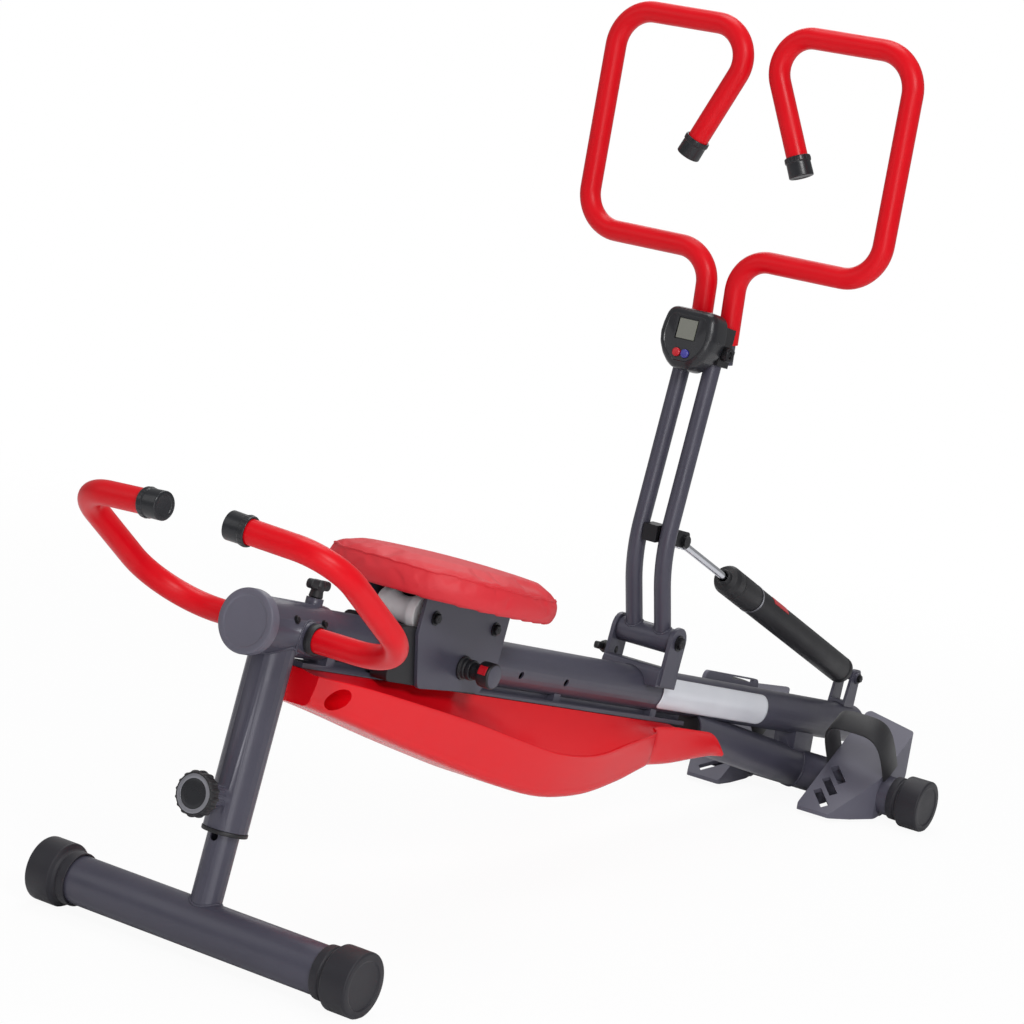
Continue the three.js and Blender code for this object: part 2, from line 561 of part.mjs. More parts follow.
// Rail tube, hull bar, badge plate and carry loop
function buildRail() {
  const tube = alongX(pipe(steel.radius, steel.radius - steel.wall, -rail.rear, rail.front, sides.fine));
  const holes = Array.from({ length: rail.pinHoleCount }, (_, i) =>
    pipe(rail.pinHoleRadius, 0, -fit.overrun, 0, sides.small)
      .translate(rail.firstPinHole + i * rail.pinHolePitch, 0, pullPin.rise));
  part(railFrame, 'main_rail', 'anthracite', cut(tube, ...holes));

  const low = -hullBar.top - hullBar.thickness;
  const bar = box(hullBar.rear, hullBar.front, -hullBar.halfWidth, hullBar.halfWidth, low, -hullBar.top);
  const span = hullBar.front - hullBar.rear;
  const spacers = hullBar.spacerShares.map((share) => {
    const middle = hullBar.rear + span * share;
    return box(middle - hullBar.spacerLength / 2, middle + hullBar.spacerLength / 2,
      -hullBar.halfWidth, hullBar.halfWidth, low, 0);
  });
  const web = box(hullBar.webRear, hullBar.front, -hullBar.webHalf, hullBar.webHalf, low, 0);
  const railBite = alongX(pipe(steel.radius + fit.gap, 0, 0, rail.front, sides.fine));
  part(railFrame, 'hull_bar', 'anthracite', cut(join(bar, web, ...spacers), railBite));

  const inner = steel.radius + fit.gap;
  const outer = inner + badge.thickness;
  const arcSteps = 10;
  const ringPoint = (radius, i) => {
    const angle = THREE.MathUtils.degToRad(180 - badge.turnDeg + badge.halfArcDeg * ((2 * i) / arcSteps - 1));
    return [radius * Math.cos(angle), radius * Math.sin(angle)];
  };
  const steps = Array.from({ length: arcSteps + 1 }, (_, i) => i);
  const arc = [...steps.map((i) => ringPoint(outer, i)), ...steps.reverse().map((i) => ringPoint(inner, i))];
  part(railFrame, 'badge_plate', 'badge', drawn(arc, badge.rear, badge.front));

  const slotRear = carry.rear + carry.slotStart;
  const slotFront = slotRear + carry.slotLength;
  const slot = rounded([
    [slotRear, carry.slotLow], [slotFront, carry.slotLow], [slotFront, carry.slotHigh], [slotRear, carry.slotHigh],
  ], [fit.running]);
  const carryFront = carry.rear + carry.length;
  const outline = rounded([
    [carry.rear, carry.low], [carryFront, carry.low], [carryFront, carry.high], [carry.rear, carry.high],
  ], [carry.round / 2, carry.round / 2, carry.round, carry.round]);
  part(railFrame, 'carry_loop', 'blackPlastic',
    slab(outline, steel.radius + fit.gap, steel.radius + fit.gap + carry.thickness, [slot]));
}

// Hull: a hollow moulding lofted through its stations, its deck rising from the rims to the flat bar
function deckHeight(x) {
  const drop = hullBar.top + hullBar.thickness + 2 * fit.gap;
  return upright.z - (x - upright.x) * Math.tan(uprightSlope) - drop / Math.cos(uprightSlope);
}

function hullSection(i, inset, shift) {
  const x = hull.stationX[i] + shift;
  const deck = deckHeight(x) - inset;
  const top = Math.min(hull.topZ[i], deck - fit.gap);
  const low = hull.bottomZ[i] + inset;
  const upper = hull.halfTop[i] - inset;
  const lower = hull.halfBottom[i] - inset;
  const round = hull.floorRound;
  const half = [
    [hull.deckHalf - inset, deck], [upper, top], [(upper + lower) / 2, (top + low) / 2], [lower, low + round],
    [lower - round / 4, low + round / 4], [lower - round, low],
  ];
  const otherHalf = half.map(([y, z]) => [-y, z]).reverse();
  return [...half, ...otherHalf].map(([y, z]) => [x, y, z]);
}

function buildHull() {
  const last = hull.stationX.length - 1;
  const outer = loft(hull.stationX.map((_, i) => hullSection(i, 0, 0)));
  const innerShift = (i) => {
    if (i === 0) return hull.wall;
    return i === last ? -hull.wall : 0;
  };
  const inner = loft(hull.stationX.map((_, i) => hullSection(i, hull.wall, innerShift(i))));
  const holeReach = hull.halfTop[1] + fit.overrun;
  const hole = slab(superEllipse(hull.holeHalfLength, hull.holeHalfHeight, 2, sides.tube), -holeReach, holeReach)
    .translate(hull.holeX, 0, hull.holeZ);
  const strutBite = strutSolid(steel.radius + 2 * fit.running).applyMatrix4(toUpright);
  part(uprightFrame, 'hull_shell', 'redShell', cut(outer, inner, hole, strutBite));
}

// Strut from the front foot up to the underside of the rail
function strutSolid(radius, extra = 0) {
  const tube = alongX(pipe(radius, 0, strut.start - extra, strut.length + extra, sides.fine)).rotateY(Math.PI);
  return tube.rotateY(slope + THREE.MathUtils.degToRad(strut.openDeg)).translate(foot.frontX, 0, foot.axisHeight);
}

function railSolid(radius) {
  return alongX(pipe(radius, 0, 0, rail.front + fit.overrun, sides.fine))
    .applyMatrix4(railFrame.matrixWorld);
}

function barSolid(radius) {
  return pipe(radius, 0, -foot.frontHalf, foot.frontHalf, sides.fine).translate(foot.frontX, 0, foot.axisHeight);
}

function buildStrut() {
  const around = steel.radius + fit.gap;
  const bridge = box(foot.frontX - strut.bridgeRear, foot.frontX + strut.bridgeFront,
    -strut.bridgeHalf, strut.bridgeHalf, foot.axisHeight, foot.axisHeight + strut.bridgeTop);
  const bore = strutSolid(steel.radius - steel.wall, fit.overrun);
  part(machine, 'front_strut', 'anthracite',
    cut(join(strutSolid(steel.radius), bridge), bore, railSolid(around), barSolid(around)));
}

// Seat carriage on the rail
function buildCarriage() {
  const place = group(railFrame);
  place.position.x = seat.s;
  const halfBolt = seat.boltSpacing / 2;
  const frameTop = seat.topRise + seat.topThickness;
  const outline = rounded([
    [-seat.topHalf, frameTop], [-seat.topHalf, seat.axleRise / 2], [-halfBolt, -hullBar.top - hullBar.thickness],
    [halfBolt, -hullBar.top], [seat.topHalf, 0], [seat.topHalf, frameTop],
  ], [seat.headLength, seat.headRadius, seat.headRadius, seat.headRadius, seat.headRadius, seat.headLength]);
  const pinX = pullPin.s - seat.s;
  const inside = seat.plateY - seat.plateThickness;
  const room = box(-seat.halfLength, seat.halfLength, -inside, inside, -fit.overrun, seat.topRise);
  const boltBores = [-halfBolt, halfBolt].map((x) =>
    pipe(seat.axleRadius + fit.gap, 0, -fit.overrun, fit.overrun, sides.small).translate(x, 0, seat.axleRise));
  const pinBore = pipe(pullPin.pinRadius + fit.gap, 0, -fit.overrun, 0, sides.small).translate(pinX, 0, pullPin.rise);
  part(place, 'carriage_frame', 'anthracite',
    cut(slab(outline, -seat.plateY, seat.plateY), room, ...boltBores, pinBore));

  [['rear', -halfBolt], ['front', halfBolt]].forEach(([label, x]) => {
    const axle = group(place);
    axle.position.set(x, 0, seat.axleRise);
    const head = seat.plateY + fit.gap;
    const reach = head + seat.headLength;
    part(axle, `${label}_axle_bolt`, 'zinc', turned([
      [0, -reach], [seat.headRadius, -reach], [seat.headRadius, -head], [seat.axleRadius, -head],
      [seat.axleRadius, head], [seat.headRadius, head], [seat.headRadius, reach], [0, reach],
    ], sides.small));
    const bore = seat.axleRadius + fit.gap;
    const hollow = steel.radius + fit.gap;
    const waistSteps = 6;
    const profile = [[bore, -seat.rollerHalf], [seat.rollerRadius, -seat.rollerHalf]];
    for (let i = 0; i <= waistSteps; i += 1) {
      const y = seat.waistFlat * ((2 * i) / waistSteps - 1);
      profile.push([seat.axleRise - Math.sqrt(hollow * hollow - y * y), y]);
    }
    profile.push([seat.rollerRadius, seat.rollerHalf], [bore, seat.rollerHalf], [bore, -seat.rollerHalf]);
    part(axle, `${label}_roller`, 'nylon', turned(profile, sides.tube));
  });

  const shoeOutline = rounded([
    [-seat.guideRear, seat.guideTop], [-seat.guideRear, -seat.guideBottom],
    [seat.guideFront, -seat.guideBottom], [seat.guideFront, seat.guideTop],
  ], [seat.guideRound, seat.headRadius, seat.headRadius, seat.guideRound]);
  const railBite = alongX(pipe(steel.radius + fit.running, 0, -seat.guideRear - fit.overrun,
    seat.guideFront + fit.overrun, sides.fine));
  const lip = hullBar.halfWidth + fit.running;
  const side = seat.rollerHalf + fit.running;
  const shoeOuter = inside - fit.gap;
  hands.forEach(([hand, sign]) => {
    const [y0, y1] = sign > 0 ? [lip, shoeOuter] : [-shoeOuter, -lip];
    const [b0, b1] = sign > 0 ? [0, side] : [-side, 0];
    const above = box(-seat.guideRear - fit.overrun, seat.guideFront + fit.overrun, b0, b1, -seat.lipTop, fit.overrun);
    const bites = sign > 0 ? [railBite, above] : [railBite, above, pinBore];
    part(place, `guide_shoe_${hand}`, 'blackPlastic', cut(slab(shoeOutline, y0, y1), ...bites));
  });
  buildPullPin(place, pinX);
  buildSeat(place);
}

// Pull pin on the right plate, its nose riding just clear of the rail
function buildPullPin(parent, pinX) {
  const place = group(parent);
  place.position.set(pinX, 0, pullPin.rise);
  place.rotation.z = Math.PI;
  const base = seat.plateY + fit.gap;
  const housingEnd = base + pullPin.housingLength;
  part(place, 'pull_pin_housing', 'blackPlastic', turned([
    [pullPin.pinRadius + fit.gap, base], [pullPin.guardRadius, base], [pullPin.guardRadius, base + pullPin.guardLength],
    [pullPin.housingRadius, base + pullPin.guardLength], [pullPin.housingRadius, housingEnd],
    [pullPin.pinRadius + fit.gap, housingEnd], [pullPin.pinRadius + fit.gap, base],
  ], sides.rod));
  const tip = steel.radius + fit.running;
  const knobStart = housingEnd + fit.gap + pullPin.plungerLength;
  const knobEnd = knobStart + pullPin.knobLength;
  part(place, 'pull_pin_knob', 'zinc', turned([
    [0, tip], [pullPin.pinRadius, tip], [pullPin.pinRadius, housingEnd + fit.gap],
    [pullPin.plungerRadius, housingEnd + fit.gap], [pullPin.plungerRadius, knobStart],
    ...roundOut(pullPin.knobRadius, knobStart, pullPin.knobRound, 1),
    ...roundOut(pullPin.knobRadius, knobEnd, pullPin.knobRound, -1).reverse(), [0, knobEnd],
  ], sides.rod));
}

// Seat board and the upholstered cushion: a crowned pad with drawn-in sides
function superEllipse(a, b, power, count) {
  return Array.from({ length: count }, (_, i) => {
    const angle = (2 * Math.PI * i) / count;
    const c = Math.cos(angle);
    const s = Math.sin(angle);
    return [a * Math.sign(c) * Math.abs(c) ** (2 / power), b * Math.sign(s) * Math.abs(s) ** (2 / power)];
  });
}

function buildSeat(parent) {
  const boardLow = seat.topRise + seat.topThickness + fit.gap;
  const boardHigh = boardLow + seat.boardThickness;
  const boardOutline = (grow) => superEllipse(
    seat.halfLength - seat.boardInset + grow, seat.halfWidth - seat.boardInset + grow, padShares.power, sides.fine);
  part(parent, 'seat_board', 'blackPlastic', sheet(boardOutline(0), boardLow, boardHigh));

  const base = boardLow - seat.rimDrop;
  const rise = seat.cushionThickness - seat.cushionCrown;
  const levels = padShares.sides.map(([up, drawn]) => ({ z: base + rise * up, inset: seat.sideDraw * drawn }));
  const rimInset = levels[levels.length - 1].inset;
  const rim = seat.halfWidth - rimInset;
  padShares.crown.forEach((share) => levels.push({
    z: base + rise + seat.cushionCrown * (1 - share * share), inset: seat.halfWidth - rim * share, share,
  }));
  const count = sides.fine;
  const points = [];
  levels.forEach(({ z, inset, share }) => {
    const a = share ? (seat.halfLength - rimInset) * share : seat.halfLength - inset;
    const b = seat.halfWidth - inset;
    superEllipse(a, b, padShares.power, count).forEach(([x, y]) => points.push(x, y, z));
  });
  const bottom = points.push(0, 0, base) / 3 - 1;
  const top = points.push(0, 0, base + seat.cushionThickness) / 3 - 1;
  const index = [];
  for (let row = 0; row < levels.length - 1; row += 1) {
    for (let k = 0; k < count; k += 1) {
      const next = (k + 1) % count;
      const a = row * count + k;
      const b = row * count + next;
      index.push(a, b, b + count, a, b + count, a + count);
    }
  }
  const lastRow = (levels.length - 1) * count;
  for (let k = 0; k < count; k += 1) {
    const next = (k + 1) % count;
    index.push(bottom, next, k, top, lastRow + k, lastRow + next);
  }
  const cushion = new THREE.BufferGeometry();
  cushion.setAttribute('position', new THREE.BufferAttribute(new Float32Array(points), 3));
  cushion.setIndex(index);
  const recess = sheet(boardOutline(fit.gap), base - fit.overrun, boardHigh + fit.gap);
  part(parent, 'seat_cushion', 'redSeat', cut(cushion, recess));
}

// Yoke on the rail: saddle, ears, pivot bolt and clamp screw
function buildYoke() {
  const place = group(railFrame);
  place.position.x = yoke.s;
  const saddle = slab(rounded([
    [-yoke.saddleHalf, yoke.saddleLow], [yoke.saddleHalf, yoke.saddleLow],
    [yoke.saddleHalf, yoke.saddleHigh], [-yoke.saddleHalf, yoke.saddleHigh],
  ], [fit.gap, fit.gap, yoke.saddleRound, yoke.saddleRound]), -yoke.earY, yoke.earY);
  const railBite = alongX(pipe(steel.radius + fit.gap, 0, -fit.overrun, fit.overrun, sides.fine));
  const throat = steel.radius - steel.wall;
  const below = box(-fit.overrun, fit.overrun, -throat, throat, -fit.overrun, 0);
  const outline = rounded([
    [-yoke.earHalf, yoke.earLow], [yoke.earHalf, yoke.earLow],
    [yoke.earHalf, yoke.pivotRise + yoke.earHalf], [-yoke.earHalf, yoke.pivotRise + yoke.earHalf],
  ], [fit.running, fit.running, yoke.earHalf - fit.running, yoke.earHalf - fit.running]);
  const ears = hands.map(([, sign]) => {
    const middle = sign * yoke.earY;
    return slab(outline, middle - yoke.earThickness / 2, middle + yoke.earThickness / 2);
  });
  const pivotBore = pipe(yoke.holeRadius, 0, -fit.overrun, fit.overrun, sides.rod).translate(0, 0, yoke.pivotRise);
  const screwBore = pipe(yokeScrew.threadRadius + fit.gap, 0, yoke.earY - yoke.earThickness, fit.overrun, sides.small)
    .translate(0, 0, yokeScrew.height);
  part(place, 'yoke_bracket', 'anthracite', cut(join(saddle, ...ears), railBite, below, pivotBore, screwBore));

  const head = yoke.earY + yoke.earThickness / 2 + fit.gap;
  const reach = head + yoke.headLength;
  const bolt = part(place, 'mast_pivot_bolt', 'zinc', turned([
    [0, -reach], [yoke.headRadius, -reach], [yoke.headRadius, -head], [yoke.boltRadius, -head],
    [yoke.boltRadius, head], [yoke.headRadius, head], [yoke.headRadius, reach], [0, reach],
  ], sides.rod));
  bolt.position.z = yoke.pivotRise;

  const outside = yoke.earY + yoke.earThickness / 2 + fit.gap;
  const thread = alongZ(pipe(yokeScrew.threadRadius, 0, outside - yoke.earThickness, outside + yokeScrew.stemLength,
    sides.small));
  const screw = part(place, 'yoke_wing_screw', 'blackPlastic', join(wingShape(yokeScrew, outside), thread));
  screw.position.z = yokeScrew.height;
  screw.rotation.x = -quarter;
}

// Mast: everything here swings about the pivot bolt
const pivot = fromRail(yoke.s, yoke.pivotRise);
const lugPoint = new THREE.Vector3(mast.lugX, 0, mast.lugZ);
const joint = new THREE.Vector3(mast.jointX, 0, mast.jointZ);
const elbow = new THREE.Vector3(mast.elbowX, 0, mast.elbowZ);
const mastUp = joint.clone().sub(elbow).normalize();
const mastLean = Math.atan2(mastUp.x, mastUp.z);

function rodPath(sign, start) {
  const shift = new THREE.Vector3(0, sign * mast.rodY, 0);
  const top = joint.clone().addScaledVector(mastUp, clamp.rodTop);
  return new BentPath([start, elbow, top].map((point) => point.clone().add(shift)), [mast.elbowBend]);
}

function buildMast() {
  const footSpan = yoke.earY - yoke.earThickness / 2 - fit.running;
  const footTube_ = pipe(mast.footRadius, yoke.boltRadius + fit.gap, -footSpan, footSpan, sides.tube);
  const mesh = part(uprightFrame, 'mast_foot_tube', 'anthracite', footTube_);
  mesh.position.copy(pivot);
  const up = elbow.clone().sub(pivot).normalize();
  const start = pivot.clone().addScaledVector(up, mast.footRadius - mast.rodRadius);
  const footBite = pipe(mast.footRadius + fit.gap, 0, -fit.overrun, fit.overrun, sides.tube)
    .translate(pivot.x, pivot.y, pivot.z);
  hands.forEach(([hand, sign]) => {
    part(uprightFrame, `mast_rod_${hand}`, 'anthracite', cut(bent(rodPath(sign, start), mast.rodRadius, 0, sides.rod), footBite));
  });

  const rodX = elbow.x + (mast.blockZ - elbow.z) * Math.tan(mastLean);
  const inside = mast.rodY - mast.rodRadius - fit.gap;
  const low = mast.blockZ - mast.blockHeight / 2;
  const high = mast.blockZ + mast.blockHeight / 2;
  const block = box(rodX - mast.rodRadius, rodX + mast.rodRadius, -inside, inside, low, high);
  const cheekIn = damper.eyeHalf + fit.gap;
  const cheekOut = cheekIn + damper.cheekThickness;
  const cheekOutline = rounded([
    [rodX, high], [rodX, low], [lugPoint.x + mast.lugRadius, lugPoint.z - mast.lugRadius],
    [lugPoint.x + mast.lugRadius, lugPoint.z + mast.lugRadius],
  ], [0, 0, mast.lugRadius / 2, mast.lugRadius / 2]);
  const throat = box(rodX + mast.rodRadius, lugPoint.x + fit.overrun, -cheekIn, cheekIn,
    lugPoint.z - fit.overrun, high + fit.overrun);
  const reach = cheekOut + damper.headLength;
  const head = pipe(damper.headRadius, 0, -reach, reach, sides.small).translate(lugPoint.x, 0, lugPoint.z);
  const cheeks = join(slab(cheekOutline, -cheekOut, cheekOut), head);
  const rodBites = hands.map(([, sign]) => bent(rodPath(sign, start), mast.rodRadius + fit.gap, 0, sides.rod));
  part(uprightFrame, 'damper_clevis', 'anthracite', cut(join(block, cheeks), throat, ...rodBites));
}

// Frame of the upper mast, leaning as the rods do, with its origin where the rods end
const upperMast = group(uprightFrame);
upperMast.position.copy(joint);
upperMast.rotation.y = mastLean;

// Line of a loop's lower leg, from its end inside the clamp up to the loop's first corner
const legLine = (sign) => {
  const start = new THREE.Vector3(loop.legX, sign * mast.rodY, loop.legZ);
  const corner = new THREE.Vector3(loop.cornerX, sign * mast.rodY, loop.cornerZ);
  return { start, corner, up: corner.clone().sub(start).normalize() };
};

function legBore(sign, radius, from) {
  const { start, up } = legLine(sign);
  const bore = pipe(around(radius, sides.rod), 0, from - fit.gap, from + 2 * fit.overrun, sides.rod);
  bore.applyQuaternion(new THREE.Quaternion().setFromUnitVectors(new THREE.Vector3(0, 1, 0), up));
  return bore.translate(start.x, start.y, start.z);
}

function buildClamp() {
  upperMast.updateMatrix();
  const rear = box(-clamp.rear, clamp.front, -clamp.halfWidth, clamp.halfWidth, -clamp.low, clamp.high);
  const front = box(0, clamp.legFront, -clamp.halfWidth, clamp.halfWidth, -clamp.low, clamp.legTop);
  const body = join(rear, front).applyMatrix4(upperMast.matrix);
  const rodBores = hands.map(([, sign]) =>
    alongZ(pipe(around(mast.rodRadius, sides.rod), 0, -fit.overrun, clamp.rodTop + fit.gap, sides.rod))
      .translate(0, sign * mast.rodY, 0).applyMatrix4(upperMast.matrix));
  const legBores = hands.flatMap(([, sign]) => [
    legBore(sign, grip.tubeRadius, 0),
    legBore(sign, grip.foamRadius, loop.foamZ - loop.legZ),
  ]);
  part(uprightFrame, 'mast_clamp', 'blackPlastic', cut(body, ...rodBores, ...legBores));
  const start = clamp.halfWidth + fit.gap;
  const knob = part(upperMast, 'mast_clamp_bolt', 'blackPlastic',
    pipe(clamp.knobRadius, 0, start, start + clamp.knobLength, sides.rod));
  knob.rotation.z = Math.PI;
  knob.position.set(clamp.boltX, 0, clamp.boltZ);
}

function buildConsole() {
  const place = group(upperMast);
  place.position.set(-clamp.rear - fit.gap, 0, console_.rise);
  const half = console_.faceHeight / 2;
  const side = shieldShares.map(([wide, high]) => [console_.halfWidth * wide, half * high]);
  const outline = [...side.map(([y, z]) => [-y, z]), ...side.reverse()];
  const body = drawn(outline, -console_.depth, 0);
  const faceX = -console_.depth;
  const lcdY = console_.lcdWidth / 2;
  const lcdLow = console_.lcdRise - console_.lcdHeight / 2;
  const lcdHigh = console_.lcdRise + console_.lcdHeight / 2;
  const recess = box(faceX - fit.running, faceX + console_.lcdRecess, -lcdY - fit.gap, lcdY + fit.gap,
    lcdLow - fit.gap, lcdHigh + fit.gap);
  const buttonY = [['red', 1], ['blue', -1]].map(([name, side]) =>
    [name, (side * console_.buttonSpacing) / 2]);
  const wells = buttonY.map(([, y]) => alongX(pipe(console_.buttonRadius + fit.running, 0, -fit.running,
    console_.buttonDepth + fit.running, sides.rod)).translate(faceX, y, -console_.buttonDrop));
  part(place, 'console_housing', 'blackPlastic', cut(body, recess, ...wells));
  part(place, 'console_lcd', 'lcd', box(faceX + console_.lcdRecess - fit.gap - console_.lcdThickness,
    faceX + console_.lcdRecess - fit.gap, -lcdY, lcdY, lcdLow, lcdHigh));
  buttonY.forEach(([name, y]) => {
    const button = alongX(turned([
      [0, -console_.buttonHeight], ...roundOut(console_.buttonRadius, -console_.buttonHeight, fit.running, 1),
      [console_.buttonRadius, console_.buttonDepth - console_.buttonHeight],
      [0, console_.buttonDepth - console_.buttonHeight],
    ], sides.rod));
    const mesh = part(place, `console_button_${name}`, `${name}Plastic`, button);
    mesh.position.set(faceX, y, -console_.buttonDrop);
  });
}

// Handlebar loops: up from the clamp, outwards, up, inwards and down to a capped end
function buildLoops() {
  hands.forEach(([hand, sign]) => {
    const at = (x, y, z) => new THREE.Vector3(x, sign * y, z);
    const { start, corner } = legLine(sign);
    const corners = [
      start, corner, at(loop.outerX, loop.outerY, loop.cornerZ),
      at(loop.topX, loop.outerY, loop.topZ), at(loop.topX, loop.innerY, loop.topZ), at(loop.topX, loop.endY, loop.topZ - loop.endDrop),
    ];
    buildGrip(uprightFrame, { grip: `handlebar_${hand}`, cap: `handlebar_cap_${hand}` }, corners,
      [loop.cornerBend, loop.outerBend, loop.topBend, loop.innerBend], loop.foamZ - loop.legZ);
  });
}

// Damper: the frame's +X runs from the mast's clevis to the bracket pin
function buildDamper() {
  const lower = fromRail(damper.bracketS, steel.radius + damper.pivotRise);
  const line = lower.clone().sub(lugPoint);
  const length = line.length();
  const place = group(uprightFrame);
  place.position.copy(lugPoint);
  place.rotation.y = Math.atan2(-line.z, line.x);

  const rod = alongX(turned([
    [0, damper.rodStart], [damper.rodRadius, damper.rodStart], [damper.rodRadius, damper.pistonAt],
    [damper.pistonRadius, damper.pistonAt], [damper.pistonRadius, damper.pistonAt + damper.pistonLength],
    [0, damper.pistonAt + damper.pistonLength],
  ], sides.tube));
  const eye = join(pipe(mast.lugRadius, 0, -damper.eyeHalf, damper.eyeHalf, sides.tube),
    alongX(pipe(mast.lugRadius * eyeNeckShare, 0, 0, mast.lugRadius + damper.eyeNeck, sides.tube)));
  part(place, 'piston_rod', 'chrome', join(rod, eye));

  const collarEnd = damper.collarStart + damper.collarLength;
  const bore = damper.rodRadius + fit.running;
  part(place, 'damper_collar', 'blackPlastic', alongX(turned([
    [bore, damper.collarStart], [damper.collarMouth, damper.collarStart],
    ...roundOut(damper.collarRadius, damper.collarStart, damper.collarRound, 1), [damper.collarRadius, collarEnd],
    [bore, collarEnd], [bore, damper.collarStart],
  ], sides.tube)));

  const barrelStart = collarEnd + fit.gap;
  const barrelEnd = length - damper.barrelEnd;
  const barrel = alongX(turned([
    [damper.barrelBore, barrelStart], [damper.barrelRadius, barrelStart], [damper.barrelRadius, barrelEnd],
    [0, barrelEnd], [0, barrelEnd - damper.barrelWall], [damper.barrelBore, barrelEnd - damper.barrelWall],
    [damper.barrelBore, barrelStart],
  ], sides.tube));
  const tongue = box(barrelEnd - damper.barrelWall / 2, length, -damper.lugHalf, damper.lugHalf,
    -damper.lugRadius, damper.lugRadius);
  const lugEnd = pipe(damper.lugRadius, 0, -damper.lugHalf, damper.lugHalf, sides.tube).translate(length, 0, 0);
  const lugHole = pipe(damper.pinRadius + fit.gap, 0, -fit.overrun, fit.overrun, sides.small).translate(length, 0, 0);
  part(place, 'damper_barrel', 'blackPlastic', cut(join(barrel, tongue, lugEnd), lugHole));

  buildBracket();
}

// Bracket on top of the rail with the pin that the damper's lug turns on
function buildBracket() {
  const place = group(railFrame);
  place.position.x = damper.bracketS;
  const pivotRise = steel.radius + damper.pivotRise;
  const base = steel.radius + fit.gap;
  const earOut = bracket.earY + bracket.earThickness;
  const outline = rounded([
    [-bracket.baseHalf, 0], [bracket.baseHalf, 0], [bracket.earHalf, pivotRise + bracket.earHalf],
    [-bracket.earHalf, pivotRise + bracket.earHalf],
  ], [0, 0, bracket.earHalf / 2, bracket.earHalf / 2]);
  const between = box(-fit.overrun, fit.overrun, -bracket.earY, bracket.earY,
    base + bracket.baseThickness, pivotRise + fit.overrun);
  const railBite = alongX(pipe(base, 0, -fit.overrun, fit.overrun, sides.fine));
  const reach = earOut + damper.headLength;
  const heads = pipe(damper.headRadius, 0, -reach, reach, sides.rod).translate(0, 0, pivotRise);
  const pin = pipe(damper.pinRadius, 0, -reach, reach, sides.small).translate(0, 0, pivotRise);
  part(place, 'damper_bracket', 'anthracite',
    join(cut(join(slab(outline, -earOut, earOut), heads), between, railBite), pin));
}

// Foot pedals that rock on the front stabiliser
function mirrorY(geometry) {
  const flipped = geometry.clone();
  const position = flipped.attributes.position;
  for (let i = 0; i < position.count; i += 1) position.setY(i, -position.getY(i));
  return flipped;
}

